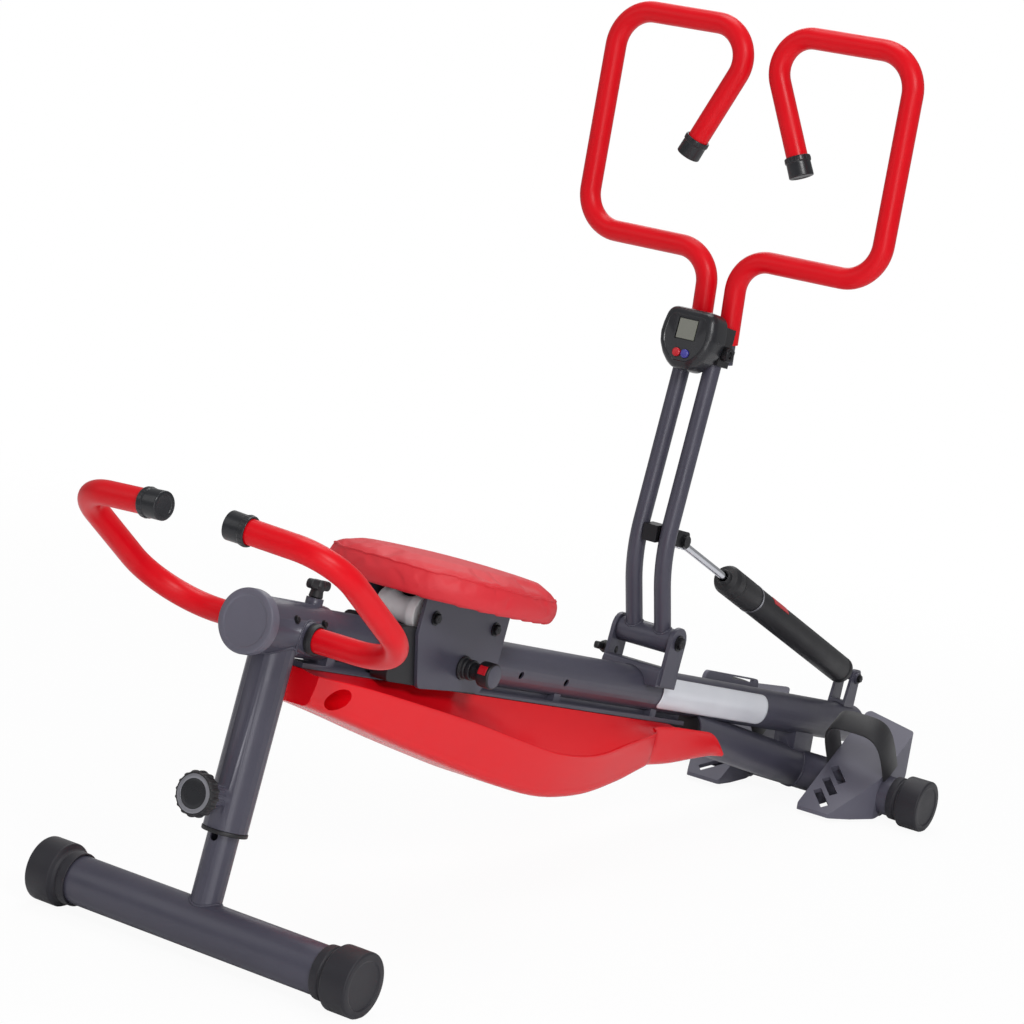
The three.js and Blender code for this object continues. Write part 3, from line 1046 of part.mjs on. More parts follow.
function buildPedals() {
  const tilt = Math.atan2(pedal.toeZ - pedal.heelZ, pedal.toeX - pedal.heelX);
  const drop = pedal.plate / Math.cos(tilt);
  const under = [[pedal.heelX, pedal.lowZ - fit.overrun], [pedal.toeX + fit.overrun, pedal.lowZ - fit.overrun],
    [pedal.toeX + fit.overrun, pedal.toeZ + Math.tan(tilt) * fit.overrun - drop], [pedal.heelX, pedal.heelZ - drop]];
  const tipX = pedal.toeX + pedal.toeSlant;
  const tipZ = pedal.toeZ + pedal.toeSlant * Math.tan(tilt);
  const profile = rounded([
    [pedal.heelX, pedal.heelZ], [pedal.heelX, pedal.lowZ + pedal.skirt / 2], [pedal.heelLowX, pedal.lowZ],
    [pedal.midLowX, pedal.lowZ], [pedal.frontLowX, pedal.frontLowZ], [tipX, tipZ],
  ], [fit.running, fit.running, pedal.plate, steel.radius, pedal.plate, fit.running]);
  const plan = (inset) => rounded([
    [pedal.heelX - fit.running + inset, -pedal.innerY - inset], [pedal.heelX - fit.running + inset, -pedal.heelOuterY + inset],
    [-steel.radius, -pedal.outerY + inset], [pedal.toeX - inset, -pedal.outerY + inset],
    [tipX - inset, -pedal.innerY - inset],
  ], [pedal.plate + fit.running - inset]);
  const low = pedal.lowZ - fit.overrun;
  const high = pedal.toeZ + fit.overrun;
  const body = common(slab(profile, -foot.frontHalf, 0), sheet(plan(0), low, high));
  const cavity = common(slab(under, -foot.frontHalf, 0), sheet(plan(pedal.skirt), low, high));
  const hub = pipe(pedal.hubRadius, 0, -pedal.outerY + pedal.skirt / 2, -pedal.innerY - pedal.skirt / 2, sides.tube);
  const bar = pipe(around(steel.radius, sides.fine), 0, -foot.frontHalf, 0, sides.fine);
  const slots = Array.from({ length: pedal.slotCount }, (_, i) => {
    const slot = box(-pedal.slotLength / 2, pedal.slotLength / 2, -pedal.slotWidth / 2, pedal.slotWidth / 2,
      -pedal.plate * 2, pedal.plate * 2).rotateZ(THREE.MathUtils.degToRad(pedal.slotTurnDeg));
    const along = pedal.slotStart + i * pedal.slotPitch;
    return slot.rotateY(-tilt).translate(pedal.heelX + along * Math.cos(tilt),
      -(pedal.innerY + pedal.heelOuterY) / 2, pedal.heelZ + along * Math.sin(tilt));
  });
  const shell = cut(join(cut(body, cavity), hub), bar, ...slots);

  const anchorIn = -pedal.innerY + fit.gap;
  const anchorOut = -pedal.outerY - fit.gap;
  const middle = (anchorIn + anchorOut) / 2;
  const half = (anchorIn - anchorOut) / 2;
  const arc = [];
  const point = (extra, i) => {
    const angle = (Math.PI * i) / strap.steps;
    const across = Math.sign(Math.cos(angle)) * Math.abs(Math.cos(angle)) ** (2 / strap.power);
    return [middle + (half + extra) * across, (strap.rise - strap.thickness + extra) * Math.sin(angle) ** (2 / strap.power)];
  };
  const leg = -strap.anchorDrop;
  arc.push([anchorIn + strap.thickness, leg]);
  for (let i = 0; i <= strap.steps; i += 1) arc.push(point(strap.thickness, i));
  arc.push([anchorOut - strap.thickness, leg], [anchorOut, leg]);
  for (let i = strap.steps; i >= 0; i -= 1) arc.push(point(0, i));
  arc.push([anchorIn, leg]);
  const band = cut(drawn(arc, strap.rear, strap.front).rotateY(-tilt).translate(pedal.heelX, 0, pedal.heelZ), bar);
  hands.forEach(([hand, sign]) => {
    const place = group(machine);
    place.position.set(foot.frontX, 0, foot.axisHeight);
    part(place, `pedal_${hand}`, 'rubber', sign > 0 ? mirrorY(shell) : shell);
    part(place, `pedal_strap_${hand}`, 'blackPlastic', sign > 0 ? mirrorY(band) : band);
  });
}

buildFoot(machine, 'rear', foot.rearHalf, 0);
buildFoot(machine, 'front', foot.frontHalf, foot.frontX);
buildPost();
buildHeightKnob();
buildHead();
buildHandles();
buildRail();
buildHull();
buildStrut();
buildCarriage();
buildYoke();
buildMast();
buildClamp();
buildConsole();
buildLoops();
buildDamper();
buildPedals();

// Origin on the floor under the middle of the machine's length
machine.updateMatrixWorld(true);
const extent = new THREE.Box3().setFromObject(machine, true);
machine.position.x = -(extent.min.x + extent.max.x) / 2;

export default machine;
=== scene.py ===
"""Looks of a home rowing machine with a sliding seat, a swinging mast and a hydraulic cylinder.

Sizes are in millimetres, in the machine's own local frames. Every mesh is made in metres in the row frame.
"""
import logging
import math
from collections.abc import Sequence
from dataclasses import dataclass
from enum import Enum

import bmesh
import bpy
from mathutils import Matrix, Vector


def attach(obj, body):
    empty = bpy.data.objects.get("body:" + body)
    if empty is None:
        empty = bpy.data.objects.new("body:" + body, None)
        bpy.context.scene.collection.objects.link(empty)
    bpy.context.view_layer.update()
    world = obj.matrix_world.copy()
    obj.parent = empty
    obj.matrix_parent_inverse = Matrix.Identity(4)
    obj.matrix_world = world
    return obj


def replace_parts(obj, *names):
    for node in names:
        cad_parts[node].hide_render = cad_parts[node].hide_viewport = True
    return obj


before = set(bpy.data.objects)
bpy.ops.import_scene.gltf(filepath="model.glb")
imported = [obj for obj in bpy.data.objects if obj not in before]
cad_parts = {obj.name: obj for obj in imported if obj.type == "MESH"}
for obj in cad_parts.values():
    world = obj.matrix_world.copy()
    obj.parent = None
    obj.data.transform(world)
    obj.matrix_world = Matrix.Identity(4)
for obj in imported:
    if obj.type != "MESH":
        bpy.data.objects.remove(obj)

LOG = logging.getLogger("rowing_machine")
MM = 0.001
# Clearance between pieces that fit into each other, and chords round a welded tube
GAP = 0.3
WELD_CHORDS = 72
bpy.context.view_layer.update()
Pairs = list[tuple[float, float]]
Spots = Sequence[tuple[Vector, Vector]]
Piece = bpy.types.Object
Tree = bpy.types.NodeTree
Socket = bpy.types.NodeSocket
Sockets = bpy.types.bpy_prop_collection


# Places and small geometry helpers


@dataclass(frozen=True)
class Place:
    """A local frame of the machine: its origin in row millimetres, and its turn about the cross axis."""

    x: float
    z: float
    turn_deg: float = 0.0

    def matrix(self) -> Matrix:
        """Matrix from local millimetres to row metres."""
        move = Matrix.Translation(Vector((self.x, 0, self.z)) * MM)
        return move @ Matrix.Rotation(math.radians(self.turn_deg), 4, "Y") @ Matrix.Scale(MM, 4)

    def at(self, x: float, y: float, z: float) -> Matrix:
        """Matrix of a frame moved to a local point."""
        return self.matrix() @ Matrix.Translation((x, y, z))


# The machine's own origin in the row frame, then the frames of its parts
SHIFT = -632.37
MACHINE = Place(SHIFT, 0)
RAIL = Place(SHIFT + 56.558, 327.64, 10.83)
REAR_FOOT = Place(SHIFT, 32)
FRONT_FOOT = Place(SHIFT + 1237, 32)
UPPER_MAST = Place(SHIFT + 803, 590, 10.389)
CYLINDER = Place(SHIFT + 822, 364, 22.704)
STRUT = Place(FRONT_FOOT.x, FRONT_FOOT.z, 15.87)
# The mast's pivot in the rail's frame, and the reach of its two rods to each side
MAST_PIVOT = Vector((737, 0, 63))
ROD_Y = 19.5


class Along(Enum):
    """Which local axis a turned or round piece stands along."""

    X = Matrix.Rotation(math.pi / 2, 4, "Y")
    Y = Matrix.Rotation(-math.pi / 2, 4, "X")
    Z = Matrix.Identity(4)
    BACK_X = Matrix.Rotation(-math.pi / 2, 4, "Y")
    BACK_Y = Matrix.Rotation(math.pi / 2, 4, "X")


class Hand(Enum):
    """Side of the machine, from a rower who faces the handlebars."""

    LEFT = 1
    RIGHT = -1

    @property
    def label(self) -> str:
        """Word used in node names."""
        return self.name.lower()

    @property
    def outwards(self) -> Along:
        """Axis that points away from the machine on this side."""
        return Along.Y if self is Hand.LEFT else Along.BACK_Y


def corner_arc(before: Vector, corner: Vector, after: Vector, radius: float, steps: int) -> list[Vector]:
    """Rounds one corner of a path.

    Args:
        before: the point that leads to the corner.
        corner: the sharp corner.
        after: the point that follows it.
        radius: bend radius, made smaller where the runs are short.
        steps: how many chords the arc has.

    Returns:
        Points of the arc, or the corner itself where there is nothing to round.
    """
    back, ahead = before - corner, after - corner
    half = back.angle(ahead) / 2
    if radius <= 0 or half > math.radians(89):
        return [corner]
    reach = min(radius / math.tan(half), back.length * 0.98, ahead.length * 0.98)
    radius = reach * math.tan(half)
    back.normalize()
    ahead.normalize()
    centre = corner + (back + ahead).normalized() * (radius / math.sin(half))
    spoke = corner + back * reach - centre
    axis = spoke.cross(corner + ahead * reach - centre)
    turn = math.pi - 2 * half
    return [centre + Matrix.Rotation(turn * k / steps, 3, axis) @ spoke for k in range(steps + 1)]


def rounded_path(corners: Sequence[Vector], radii: Sequence[float], step_deg: float = 5) -> list[Vector]:
    """Path through corners with a bend at each.

    Args:
        corners: the path's corners, its two ends among them.
        radii: one bend radius for each corner between the ends.
        step_deg: turn of one chord of a bend.

    Returns:
        Points of the whole path.
    """
    points = [corners[0]]
    for before, corner, after, radius in zip(corners, corners[1:], corners[2:], radii):
        turn = 180 - math.degrees((before - corner).angle(after - corner))
        points += corner_arc(before, corner, after, radius, max(2, math.ceil(turn / step_deg)))
    return [*points, corners[-1]]


def rounded_outline(corners: Pairs, radii: Sequence[float], steps: int = 6) -> Pairs:
    """Closed flat outline with rounded corners.

    Args:
        corners: the outline's corners.
        radii: bend radii, which repeat where they are fewer than the corners.
        steps: chords of each bend.

    Returns:
        Points of the outline.
    """
    flat = [Vector((a, b, 0)) for a, b in corners]
    made: list[Vector] = []
    for i, corner in enumerate(flat):
        made += corner_arc(flat[i - 1], corner, flat[(i + 1) % len(flat)], radii[i % len(radii)], steps)
    return [(p.x, p.y) for p in made]


def soft_profile(profile: Pairs, radius: float, steps: int = 3) -> Pairs:
    """Breaks the sharp edges of a turned profile.

    Args:
        profile: pairs of radius and height, from the axis to the axis, or back to the start.
        radius: rounding of every corner, made smaller beside short runs.
        steps: chords of each rounding.

    Returns:
        The profile with its corners rounded.
    """
    flat = [Vector((r, h, 0)) for r, h in profile]
    ring = (flat[0] - flat[-1]).length < 1e-6
    inner = flat[:-1] if ring else flat[1:-1]
    made = [] if ring else [flat[0]]
    for i, corner in enumerate(inner):
        before = inner[i - 1] if ring else flat[i]
        after = inner[(i + 1) % len(inner)] if ring else flat[i + 2]
        room = 0.45 * min((before - corner).length, (after - corner).length)
        half = (before - corner).angle(after - corner) / 2
        made += corner_arc(before, corner, after, min(radius, room * math.tan(min(half, 1.5))), steps)
    made.append(made[0] if ring else flat[-1])
    return [(max(p.x, 0.0), p.y) for p in made]


def super_ellipse(a: float, b: float, power: float, count: int) -> Pairs:
    """Rounded rectangle that swells between a circle and a box.

    Args:
        a: half its length.
        b: half its width.
        power: two for an ellipse, more for squarer corners.
        count: how many points it has.

    Returns:
        Its points, anticlockwise.
    """
    made = []
    for i in range(count):
        c, s = math.cos(math.tau * i / count), math.sin(math.tau * i / count)
        made.append((a * math.copysign(abs(c) ** (2 / power), c), b * math.copysign(abs(s) ** (2 / power), s)))
    return made


def bar_profile(radius: float, low: float, high: float) -> Pairs:
    """Profile of a plain solid bar."""
    return [(0, low), (radius, low), (radius, high), (0, high)]


def ring_profile(inner: float, outer: float, low: float, high: float) -> Pairs:
    """Closed profile of a plain ring."""
    return [(inner, low), (outer, low), (outer, high), (inner, high), (inner, low)]


def saddle_line(centre: Vector, direction: Vector, axis: Vector, radius: float, bar: float) -> list[Vector]:
    """Line where a round tube meets a round bar square to it.

    Args:
        centre: where the two axes cross.
        direction: unit vector along the tube, away from the bar.
        axis: unit vector along the bar.
        radius: outer radius of the tube.
        bar: outer radius of the bar.

    Returns:
        Points of the line; the last one repeats the first.
    """
    across = direction.cross(axis).normalized()
    made = []
    for i in range(WELD_CHORDS + 1):
        c, s = math.cos(math.tau * i / WELD_CHORDS), math.sin(math.tau * i / WELD_CHORDS)
        rise = math.sqrt(max(bar * bar - (radius * c) ** 2, 0))
        made.append(centre + across * (radius * c) + axis * (radius * s) + direction * rise)
    return made


# Mesh makers


def make_piece(name: str, verts: Sequence, faces: Sequence, matrix: Matrix, sharp_deg: float = 35) -> Piece:
    """Makes an object from points and faces.

    Args:
        name: the object's name.
        verts: points in the local frame.
        faces: lists of point numbers.
        matrix: from the local frame to row metres.
        sharp_deg: edges that turn more than this stay sharp.

    Returns:
        The new object, at the origin, with its faces pointing outwards.
    """
    mesh = bpy.data.meshes.new(name)
    mesh.from_pydata([tuple(v) for v in verts], [], [tuple(f) for f in faces])
    mesh.transform(matrix)
    shape = bmesh.new()
    shape.from_mesh(mesh)
    bmesh.ops.remove_doubles(shape, verts=shape.verts, dist=1e-7)
    bmesh.ops.recalc_face_normals(shape, faces=shape.faces)
    shape.to_mesh(mesh)
    shape.free()
    return show(name, mesh, sharp_deg)


def show(name: str, mesh: bpy.types.Mesh, sharp_deg: float) -> Piece:
    """Links a mesh as a smooth shaded object.

    Args:
        name: the object's name.
        mesh: its mesh.
        sharp_deg: edges that turn more than this stay sharp.

    Returns:
        The new object.
    """
    mesh.shade_smooth()
    mesh.set_sharp_from_angle(angle=math.radians(sharp_deg))
    return linked(name, mesh)


def linked(name: str, data: bpy.types.ID) -> Piece:
    """Puts a mesh, lamp or camera into the scene as an object."""
    piece = bpy.data.objects.new(name, data)
    bpy.context.scene.collection.objects.link(piece)
    return piece


def lathe(name: str, profile: Pairs, matrix: Matrix, along: Along, count: int = 64) -> Piece:
    """Turned piece.

    Args:
        name: the object's name.
        profile: pairs of radius and height, from the axis to the axis, or closed for a ring.
        matrix: from the local frame to row metres.
        along: the local axis that the heights run along.
        count: points round the piece.

    Returns:
        The turned object.
    """
    ring = profile[0] == profile[-1]
    verts, rows = [], []
    for radius, height in profile[:-1] if ring else profile:
        start = len(verts)
        if radius < 1e-6:
            verts.append((0, 0, height))
            rows.append([start] * count)
            continue
        angles = [math.tau * k / count for k in range(count)]
        verts += [(radius * math.cos(a), radius * math.sin(a), height) for a in angles]
        rows.append(list(range(start, start + count)))
    if ring:
        rows.append(rows[0])
    faces = []
    for low, high in zip(rows, rows[1:]):
        for k in range(count):
            n = (k + 1) % count
            loop = list(dict.fromkeys([low[k], low[n], high[n], high[k]]))
            if len(loop) > 2:
                faces.append(loop)
    return make_piece(name, verts, faces, matrix @ along.value)


def stacked(name: str, rings: Sequence[Sequence[Vector]], matrix: Matrix, sharp_deg: float = 35) -> Piece:
    """Closed skin through a row of rings.

    Args:
        name: the object's name.
        rings: local rings with the same count of points; the first and the last are filled.
        matrix: from the local frame to row metres.
        sharp_deg: edges that turn more than this stay sharp.

    Returns:
        The closed object.
    """
    count = len(rings[0])
    faces = [list(range(count)), [len(rings) * count - 1 - k for k in range(count)]]
    for i in range(len(rings) - 1):
        for k in range(count):
            n = (k + 1) % count
            faces.append([i * count + k, i * count + n, (i + 1) * count + n, (i + 1) * count + k])
    return make_piece(name, [p for ring in rings for p in ring], faces, matrix, sharp_deg)


def slab(name: str, outline: Pairs, right: float, left: float, matrix: Matrix) -> Piece:
    """Plate cut to an outline in local X and Z, from one reach across to another."""
    return stacked(name, [[Vector((x, y, z)) for x, z in outline] for y in (right, left)], matrix)


def bevelled(piece: Piece, edge: float) -> Piece:
    """Adds a small bevel on the steep edges of a piece.

    Args:
        piece: the object that gets it.
        edge: its width in millimetres.

    Returns:
        The same object.
    """
    bevel = piece.modifiers.new("broken_edges", "BEVEL")
    bevel.width = edge * MM
    bevel.segments = 2
    bevel.limit_method = "ANGLE"
    bevel.angle_limit = math.radians(38)
    bevel.harden_normals = True
    return piece


def refined(node: str, name: str, edge: float = 0.0) -> Piece:
    """Smooth shaded copy of a CAD node, with its triangles merged and its steep edges broken.

    Args:
        node: the CAD node that is copied.
        name: the new object's name.
        edge: width of the bevel in millimetres, or zero for none.

    Returns:
        The copy, which stands for the node.
    """
    shape = bmesh.new()
    shape.from_mesh(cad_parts[node].data)
    bmesh.ops.remove_doubles(shape, verts=shape.verts, dist=2e-6)
    bmesh.ops.dissolve_limit(shape, angle_limit=math.radians(0.6), verts=shape.verts, edges=shape.edges)
    mesh = bpy.data.meshes.new(name)
    shape.to_mesh(mesh)
    shape.free()
    piece = show(name, mesh, 30)
    if edge:
        bevelled(piece, edge)
    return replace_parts(piece, node)


def settled(piece: Piece) -> Piece:
    """Puts a piece's modifiers into its mesh.

    Args:
        piece: the object.

    Returns:
        The same object, with a new mesh and no modifiers.
    """
    bpy.context.view_layer.update()
    mesh = bpy.data.meshes.new_from_object(piece.evaluated_get(bpy.context.evaluated_depsgraph_get()))
    piece.modifiers.clear()
    piece.data = mesh
    return piece


def carved(piece: Piece, *cutters: Piece) -> Piece:
    """Takes the cutters out of a piece and removes them.

    Args:
        piece: the object that is cut.
        cutters: closed objects that are taken out of it.

    Returns:
        The cut object.
    """
    for cutter in cutters:
        cut = piece.modifiers.new("cut", "BOOLEAN")
        cut.operation, cut.solver, cut.object = "DIFFERENCE", "EXACT", cutter
        settled(piece)
        bpy.data.objects.remove(cutter)
    piece.data.shade_smooth()
    piece.data.set_sharp_from_angle(angle=math.radians(35))
    return piece


def joined(name: str, *pieces: Piece) -> Piece:
    """One object from several that share a finish.

    Args:
        name: the new object's name.
        pieces: the objects, which are removed.

    Returns:
        The new object.
    """
    shape = bmesh.new()
    for piece in pieces:
        shape.from_mesh(settled(piece).data)
        bpy.data.objects.remove(piece)
    mesh = bpy.data.meshes.new(name)
    shape.to_mesh(mesh)
    shape.free()
    return linked(name, mesh)


def round_bar(name: str, radius: float, half: float, soften: float, matrix: Matrix, count: int) -> Piece:
    """Solid bar across the machine, from minus half to half, with softened ends."""
    return lathe(name, soft_profile(bar_profile(radius, -half, half), soften), matrix, Along.Y, count)


# Node helpers and finishes


def srgb(colour: int) -> tuple[float, float, float, float]:
    """Linear colour from an sRGB value.

    Args:
        colour: the value, two hex digits each for red, green and blue.

    Returns:
        Linear red, green, blue and alpha.
    """
    parts = [((colour >> shift) & 255) / 255 for shift in (16, 8, 0)]
    red, green, blue = [p / 12.92 if p <= 0.04045 else ((p + 0.055) / 1.055) ** 2.4 for p in parts]
    return red, green, blue, 1.0


def add_node(tree: Tree, kind: str, settings: dict | None = None,
             inputs: dict | None = None) -> bpy.types.Node:
    """Adds a node with its settings and links.

    Args:
        tree: the tree that gets the node.
        kind: Blender's name of the node type.
        settings: properties to set on the node.
        inputs: values or output sockets for its inputs, by name or number; a list links several.

    Returns:
        The new node.
    """
    node = tree.nodes.new(kind)
    for key, value in (settings or {}).items():
        setattr(node, key, value)
    for key, value in (inputs or {}).items():
        for item in value if isinstance(value, list) else [value]:
            if isinstance(item, Socket):
                tree.links.new(item, node.inputs[key])
            else:
                node.inputs[key].default_value = item
    return node


class Grain(Enum):
    """How a surface was made, which decides its fine pattern."""

    POWDER = "powder coated"
    MOULDED = "moulded with a fine etched grain"
    FOAM = "extruded closed-cell foam"
    LEATHER = "embossed leatherette"
    BRUSHED = "brushed along its length"
    WOVEN = "woven webbing"
    SMOOTH = "moulded or plated smooth"


# Size of the faint cloudy patches that vary a finish's colour and gloss
PATCH_MM = 40.0


@dataclass(frozen=True)
class Finish:
    """One real finish: its colours, gloss and grain, with the grain's size in millimetres."""

    name: str
    slot: str
    colour: int
    accent: int
    roughness: float
    grain: Grain
    grain_mm: float
    relief: float
    metallic: float = 0.0
    spread: float = 0.06
    coat: float = 0.0
    sheen: float = 0.0
    specular: float = 0.5

    def material(self) -> bpy.types.Material:
        """The finish as a node material, made once."""
        return bpy.data.materials.get(self.name) or self._made()

    def _made(self) -> bpy.types.Material:
        """Builds the material's nodes.

        Returns:
            The new material.
        """
        material = bpy.data.materials.new(self.name)
        material.use_nodes = True
        tree = material.node_tree
        shader = tree.nodes["Principled BSDF"]
        coords = add_node(tree, "ShaderNodeTexCoord").outputs["Object"]
        patch = add_node(tree, "ShaderNodeTexNoise", None,
                         {"Vector": coords, "Scale": 1 / (PATCH_MM * MM), "Detail": 3.0})
        tint = add_node(tree, "ShaderNodeMix", {"data_type": "RGBA"},
                        {0: patch.outputs["Fac"], 6: srgb(self.colour), 7: srgb(self.accent)})
        height = self._pattern(tree, coords)
        gloss = add_node(tree, "ShaderNodeMapRange", None, {
            "Value": patch.outputs["Fac"], "From Min": 0.3, "From Max": 0.7,
            "To Min": max(self.roughness - self.spread, 0.02), "To Max": self.roughness + self.spread})
        bump = add_node(tree, "ShaderNodeBump", None,
                        {"Height": height, "Strength": self.relief, "Distance": self.grain_mm * MM * 0.3})
        tree.links.new(tint.outputs[2], shader.inputs["Base Color"])
        tree.links.new(gloss.outputs[0], shader.inputs["Roughness"])
        tree.links.new(bump.outputs[0], shader.inputs["Normal"])
        for name, value in (("Metallic", self.metallic), ("Specular IOR Level", self.specular),
                            ("Coat Weight", self.coat), ("Coat Roughness", 0.08),
                            ("Sheen Weight", self.sheen), ("Sheen Roughness", 0.4)):
            shader.inputs[name].default_value = value
        return material

    def _pattern(self, tree: Tree, coords: Socket) -> Socket:
        """Adds the nodes of the fine pattern.

        Args:
            tree: the material's tree.
            coords: the object's own coordinates.

        Returns:
            The output socket that holds the height.
        """
        scale = 1 / (self.grain_mm * MM)
        if self.grain in (Grain.FOAM, Grain.LEATHER):
            feature = "SMOOTH_F1" if self.grain is Grain.FOAM else "DISTANCE_TO_EDGE"
            cells = add_node(tree, "ShaderNodeTexVoronoi", {"feature": feature}, {"Vector": coords, "Scale": scale})
            return cells.outputs["Distance"]
        if self.grain is Grain.WOVEN:
            warp, weft = (
                add_node(tree, "ShaderNodeTexWave", {"bands_direction": way}, {"Vector": coords, "Scale": scale / 6.5})
                for way in ("X", "Y"))
            both = add_node(tree, "ShaderNodeMath", {"operation": "MULTIPLY"},
                            {0: warp.outputs["Fac"], 1: weft.outputs["Fac"]})
            return both.outputs[0]
        stretch = 0.03 if self.grain is Grain.BRUSHED else 1.0
        spread = add_node(tree, "ShaderNodeMapping", None, {"Vector": coords, "Scale": (stretch, 1, 1)})
        noise = add_node(tree, "ShaderNodeTexNoise", None,
                         {"Vector": spread.outputs[0], "Scale": scale, "Detail": 2.0, "Roughness": 0.6})
        return noise.outputs["Fac"]


# Polyester powder coat on steel: dark blue-grey satin with a faint orange peel that softens highlights.
POWDER_COAT = Finish("anthracite_powder_coat", "frame_paint", 0x43424F, 0x4A4957, 0.36, Grain.POWDER, 1.6, 0.16, 0.1)
# Glass-filled nylon mouldings: near black, a fine etched grain that keeps them matt.
MOULDED_BLACK = Finish("moulded_black_nylon", "black_plastic", 0x17171A, 0x1D1D21, 0.5, Grain.MOULDED, 0.8, 0.3)
# Smooth black ABS of the console and knob faces, with a soft gloss.
ABS_BLACK = Finish("smooth_black_abs", "black_plastic", 0x1B1C20, 0x202126, 0.3, Grain.SMOOTH, 3.0, 0.05)
# Moulded rubber caps: matt black with a slightly dusty look.
RUBBER = Finish("moulded_rubber", "black_rubber", 0x17161D, 0x1E1D26, 0.55, Grain.MOULDED, 1.0, 0.35, sheen=0.1)
# Nitrile foam sleeves: closed cells that show as a faint pebble, with a soft broad highlight.
FOAM = Finish("red_nitrile_foam", "red_foam", 0xD60616, 0xDE0C1C, 0.34, Grain.FOAM, 0.9, 0.16, specular=0.22)
# Injection moulded ABS shell: glossy, so it mirrors the light along its bilge.
SHELL = Finish("glossy_red_abs", "red_shell", 0xE60818, 0xE90B1B, 0.26, Grain.SMOOTH, 8.0, 0.0, spread=0.01,
               coat=0.1, specular=0.22)
# PVC leatherette over foam: embossed pores about a millimetre wide and a satin face.
LEATHERETTE = Finish("red_leatherette", "red_leatherette", 0xF41820, 0xF8222A, 0.4, Grain.LEATHER, 1.3, 0.22,
                     specular=0.2)
# Turned nylon rollers: milky white and slightly waxy.
NYLON = Finish("white_turned_nylon", "white_nylon", 0xFAFAFE, 0xFFFFFF, 0.42, Grain.SMOOTH, 4.0, 0.05)
# Zinc plated steel: grey, a little cloudy, with fine turning marks.
ZINC = Finish("zinc_plated_steel", "zinc_steel", 0x9C9CA4, 0xACACB2, 0.34, Grain.BRUSHED, 0.6, 0.15, 0.95)
# Black oxide fasteners: dark metal with an oily satin face.
BLACK_OXIDE = Finish("black_oxide_steel", "frame_paint", 0x232326, 0x2C2C30, 0.38, Grain.SMOOTH, 1.5, 0.1, 0.6)
# Ground and chromed piston rod: a clean mirror drawn along its length.
CHROME = Finish("hard_chrome", "chrome_rod", 0xD4D6DC, 0xDCDEE4, 0.1, Grain.BRUSHED, 0.4, 0.04, 1.0, spread=0.03)
# Brushed aluminium badge, left bare: pale, with fine lines along the rail.
BADGE = Finish("brushed_aluminium", "badge_aluminium", 0xE6E8F0, 0xF0F2F8, 0.34, Grain.BRUSHED, 0.5, 0.2, 0.3)
# Blank reflective display behind a clear window: grey-green and glossy.
LCD = Finish("blank_lcd_window", "lcd_window", 0x5C5E52, 0x64665C, 0.12, Grain.SMOOTH, 2.0, 0.02, coat=0.8)
# Red and blue moulded keys and marks with a low gloss.
RED_KEY = Finish("red_abs_key", "red_plastic", 0xB8101E, 0xC01826, 0.34, Grain.SMOOTH, 2.0, 0.05)
BLUE_KEY = Finish("blue_abs_key", "blue_plastic", 0x3A3890, 0x42409A, 0.34, Grain.SMOOTH, 2.0, 0.05)
# Grey polypropylene of the foot plates and the rail's rear cap, a little scuffed.
MOULDED_GREY = Finish("grey_polypropylene", "black_plastic", 0x5C5B68, 0x656472, 0.44, Grain.MOULDED, 0.9, 0.2)
# Polypropylene webbing: black threads about two millimetres apart, drawn a little coarse.
WEBBING = Finish("woven_webbing", "black_plastic", 0x1A1A1D, 0x222226, 0.6, Grain.WOVEN, 1.2, 0.25, sheen=0.2)


def mounted(piece: Piece, body: str, finish: Finish, *nodes: str) -> Piece:
    """Dresses a piece, lets it ride on its body and stand for its CAD nodes.

    Args:
        piece: the object, in place.
        body: the CAD body that carries it.
        finish: what it is made of.
        nodes: CAD nodes that it replaces.

    Returns:
        The same object.
    """
    piece.data.materials.clear()
    piece.data.materials.append(finish.material())
    for polygon in piece.data.polygons:
        polygon.material_index = 0
    if nodes:
        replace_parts(piece, *nodes)
    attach(piece, body)
    LOG.info("%s rides on %s in %s", piece.name, body, finish.name)
    return piece


def turned(name: str, profile: Pairs, soften: float, matrix: Matrix, along: Along, body: str, finish: Finish,
           *nodes: str, steps: int = 3, count: int = 64) -> Piece:
    """Turned piece with softened edges, dressed and mounted.

    Args:
        name: the object's name.
        profile: pairs of radius and height.
        soften: rounding of the profile's corners.
        matrix: from the local frame to row metres.
        along: the local axis that the heights run along.
        body: the CAD body that carries it.
        finish: what it is made of.
        nodes: CAD nodes that it replaces.
        steps: chords of each rounding.
        count: points round the piece.

    Returns:
        The mounted piece.
    """
    return mounted(lathe(name, soft_profile(profile, soften, steps), matrix, along, count), body, finish, *nodes)


# Geometry node trees


def new_tree(name: str, **sizes: float) -> tuple[Tree, Sockets]:
    """Starts a geometry node tree with a material and some sizes as inputs.

    Args:
        name: the tree's name.
        sizes: name of each size, with its default; a whole number makes a whole number's socket.

    Returns:
        The tree, and its inputs by name.
    """
    tree = bpy.data.node_groups.new(name, "GeometryNodeTree")
    for way in ("INPUT", "OUTPUT"):
        tree.interface.new_socket("Geometry", in_out=way, socket_type="NodeSocketGeometry")
    for label, default in sizes.items():
        kind = "NodeSocketInt" if isinstance(default, int) else "NodeSocketFloat"
        tree.interface.new_socket(label, in_out="INPUT", socket_type=kind).default_value = default
    tree.interface.new_socket("Material", in_out="INPUT", socket_type="NodeSocketMaterial")
    return tree, add_node(tree, "NodeGroupInput").outputs


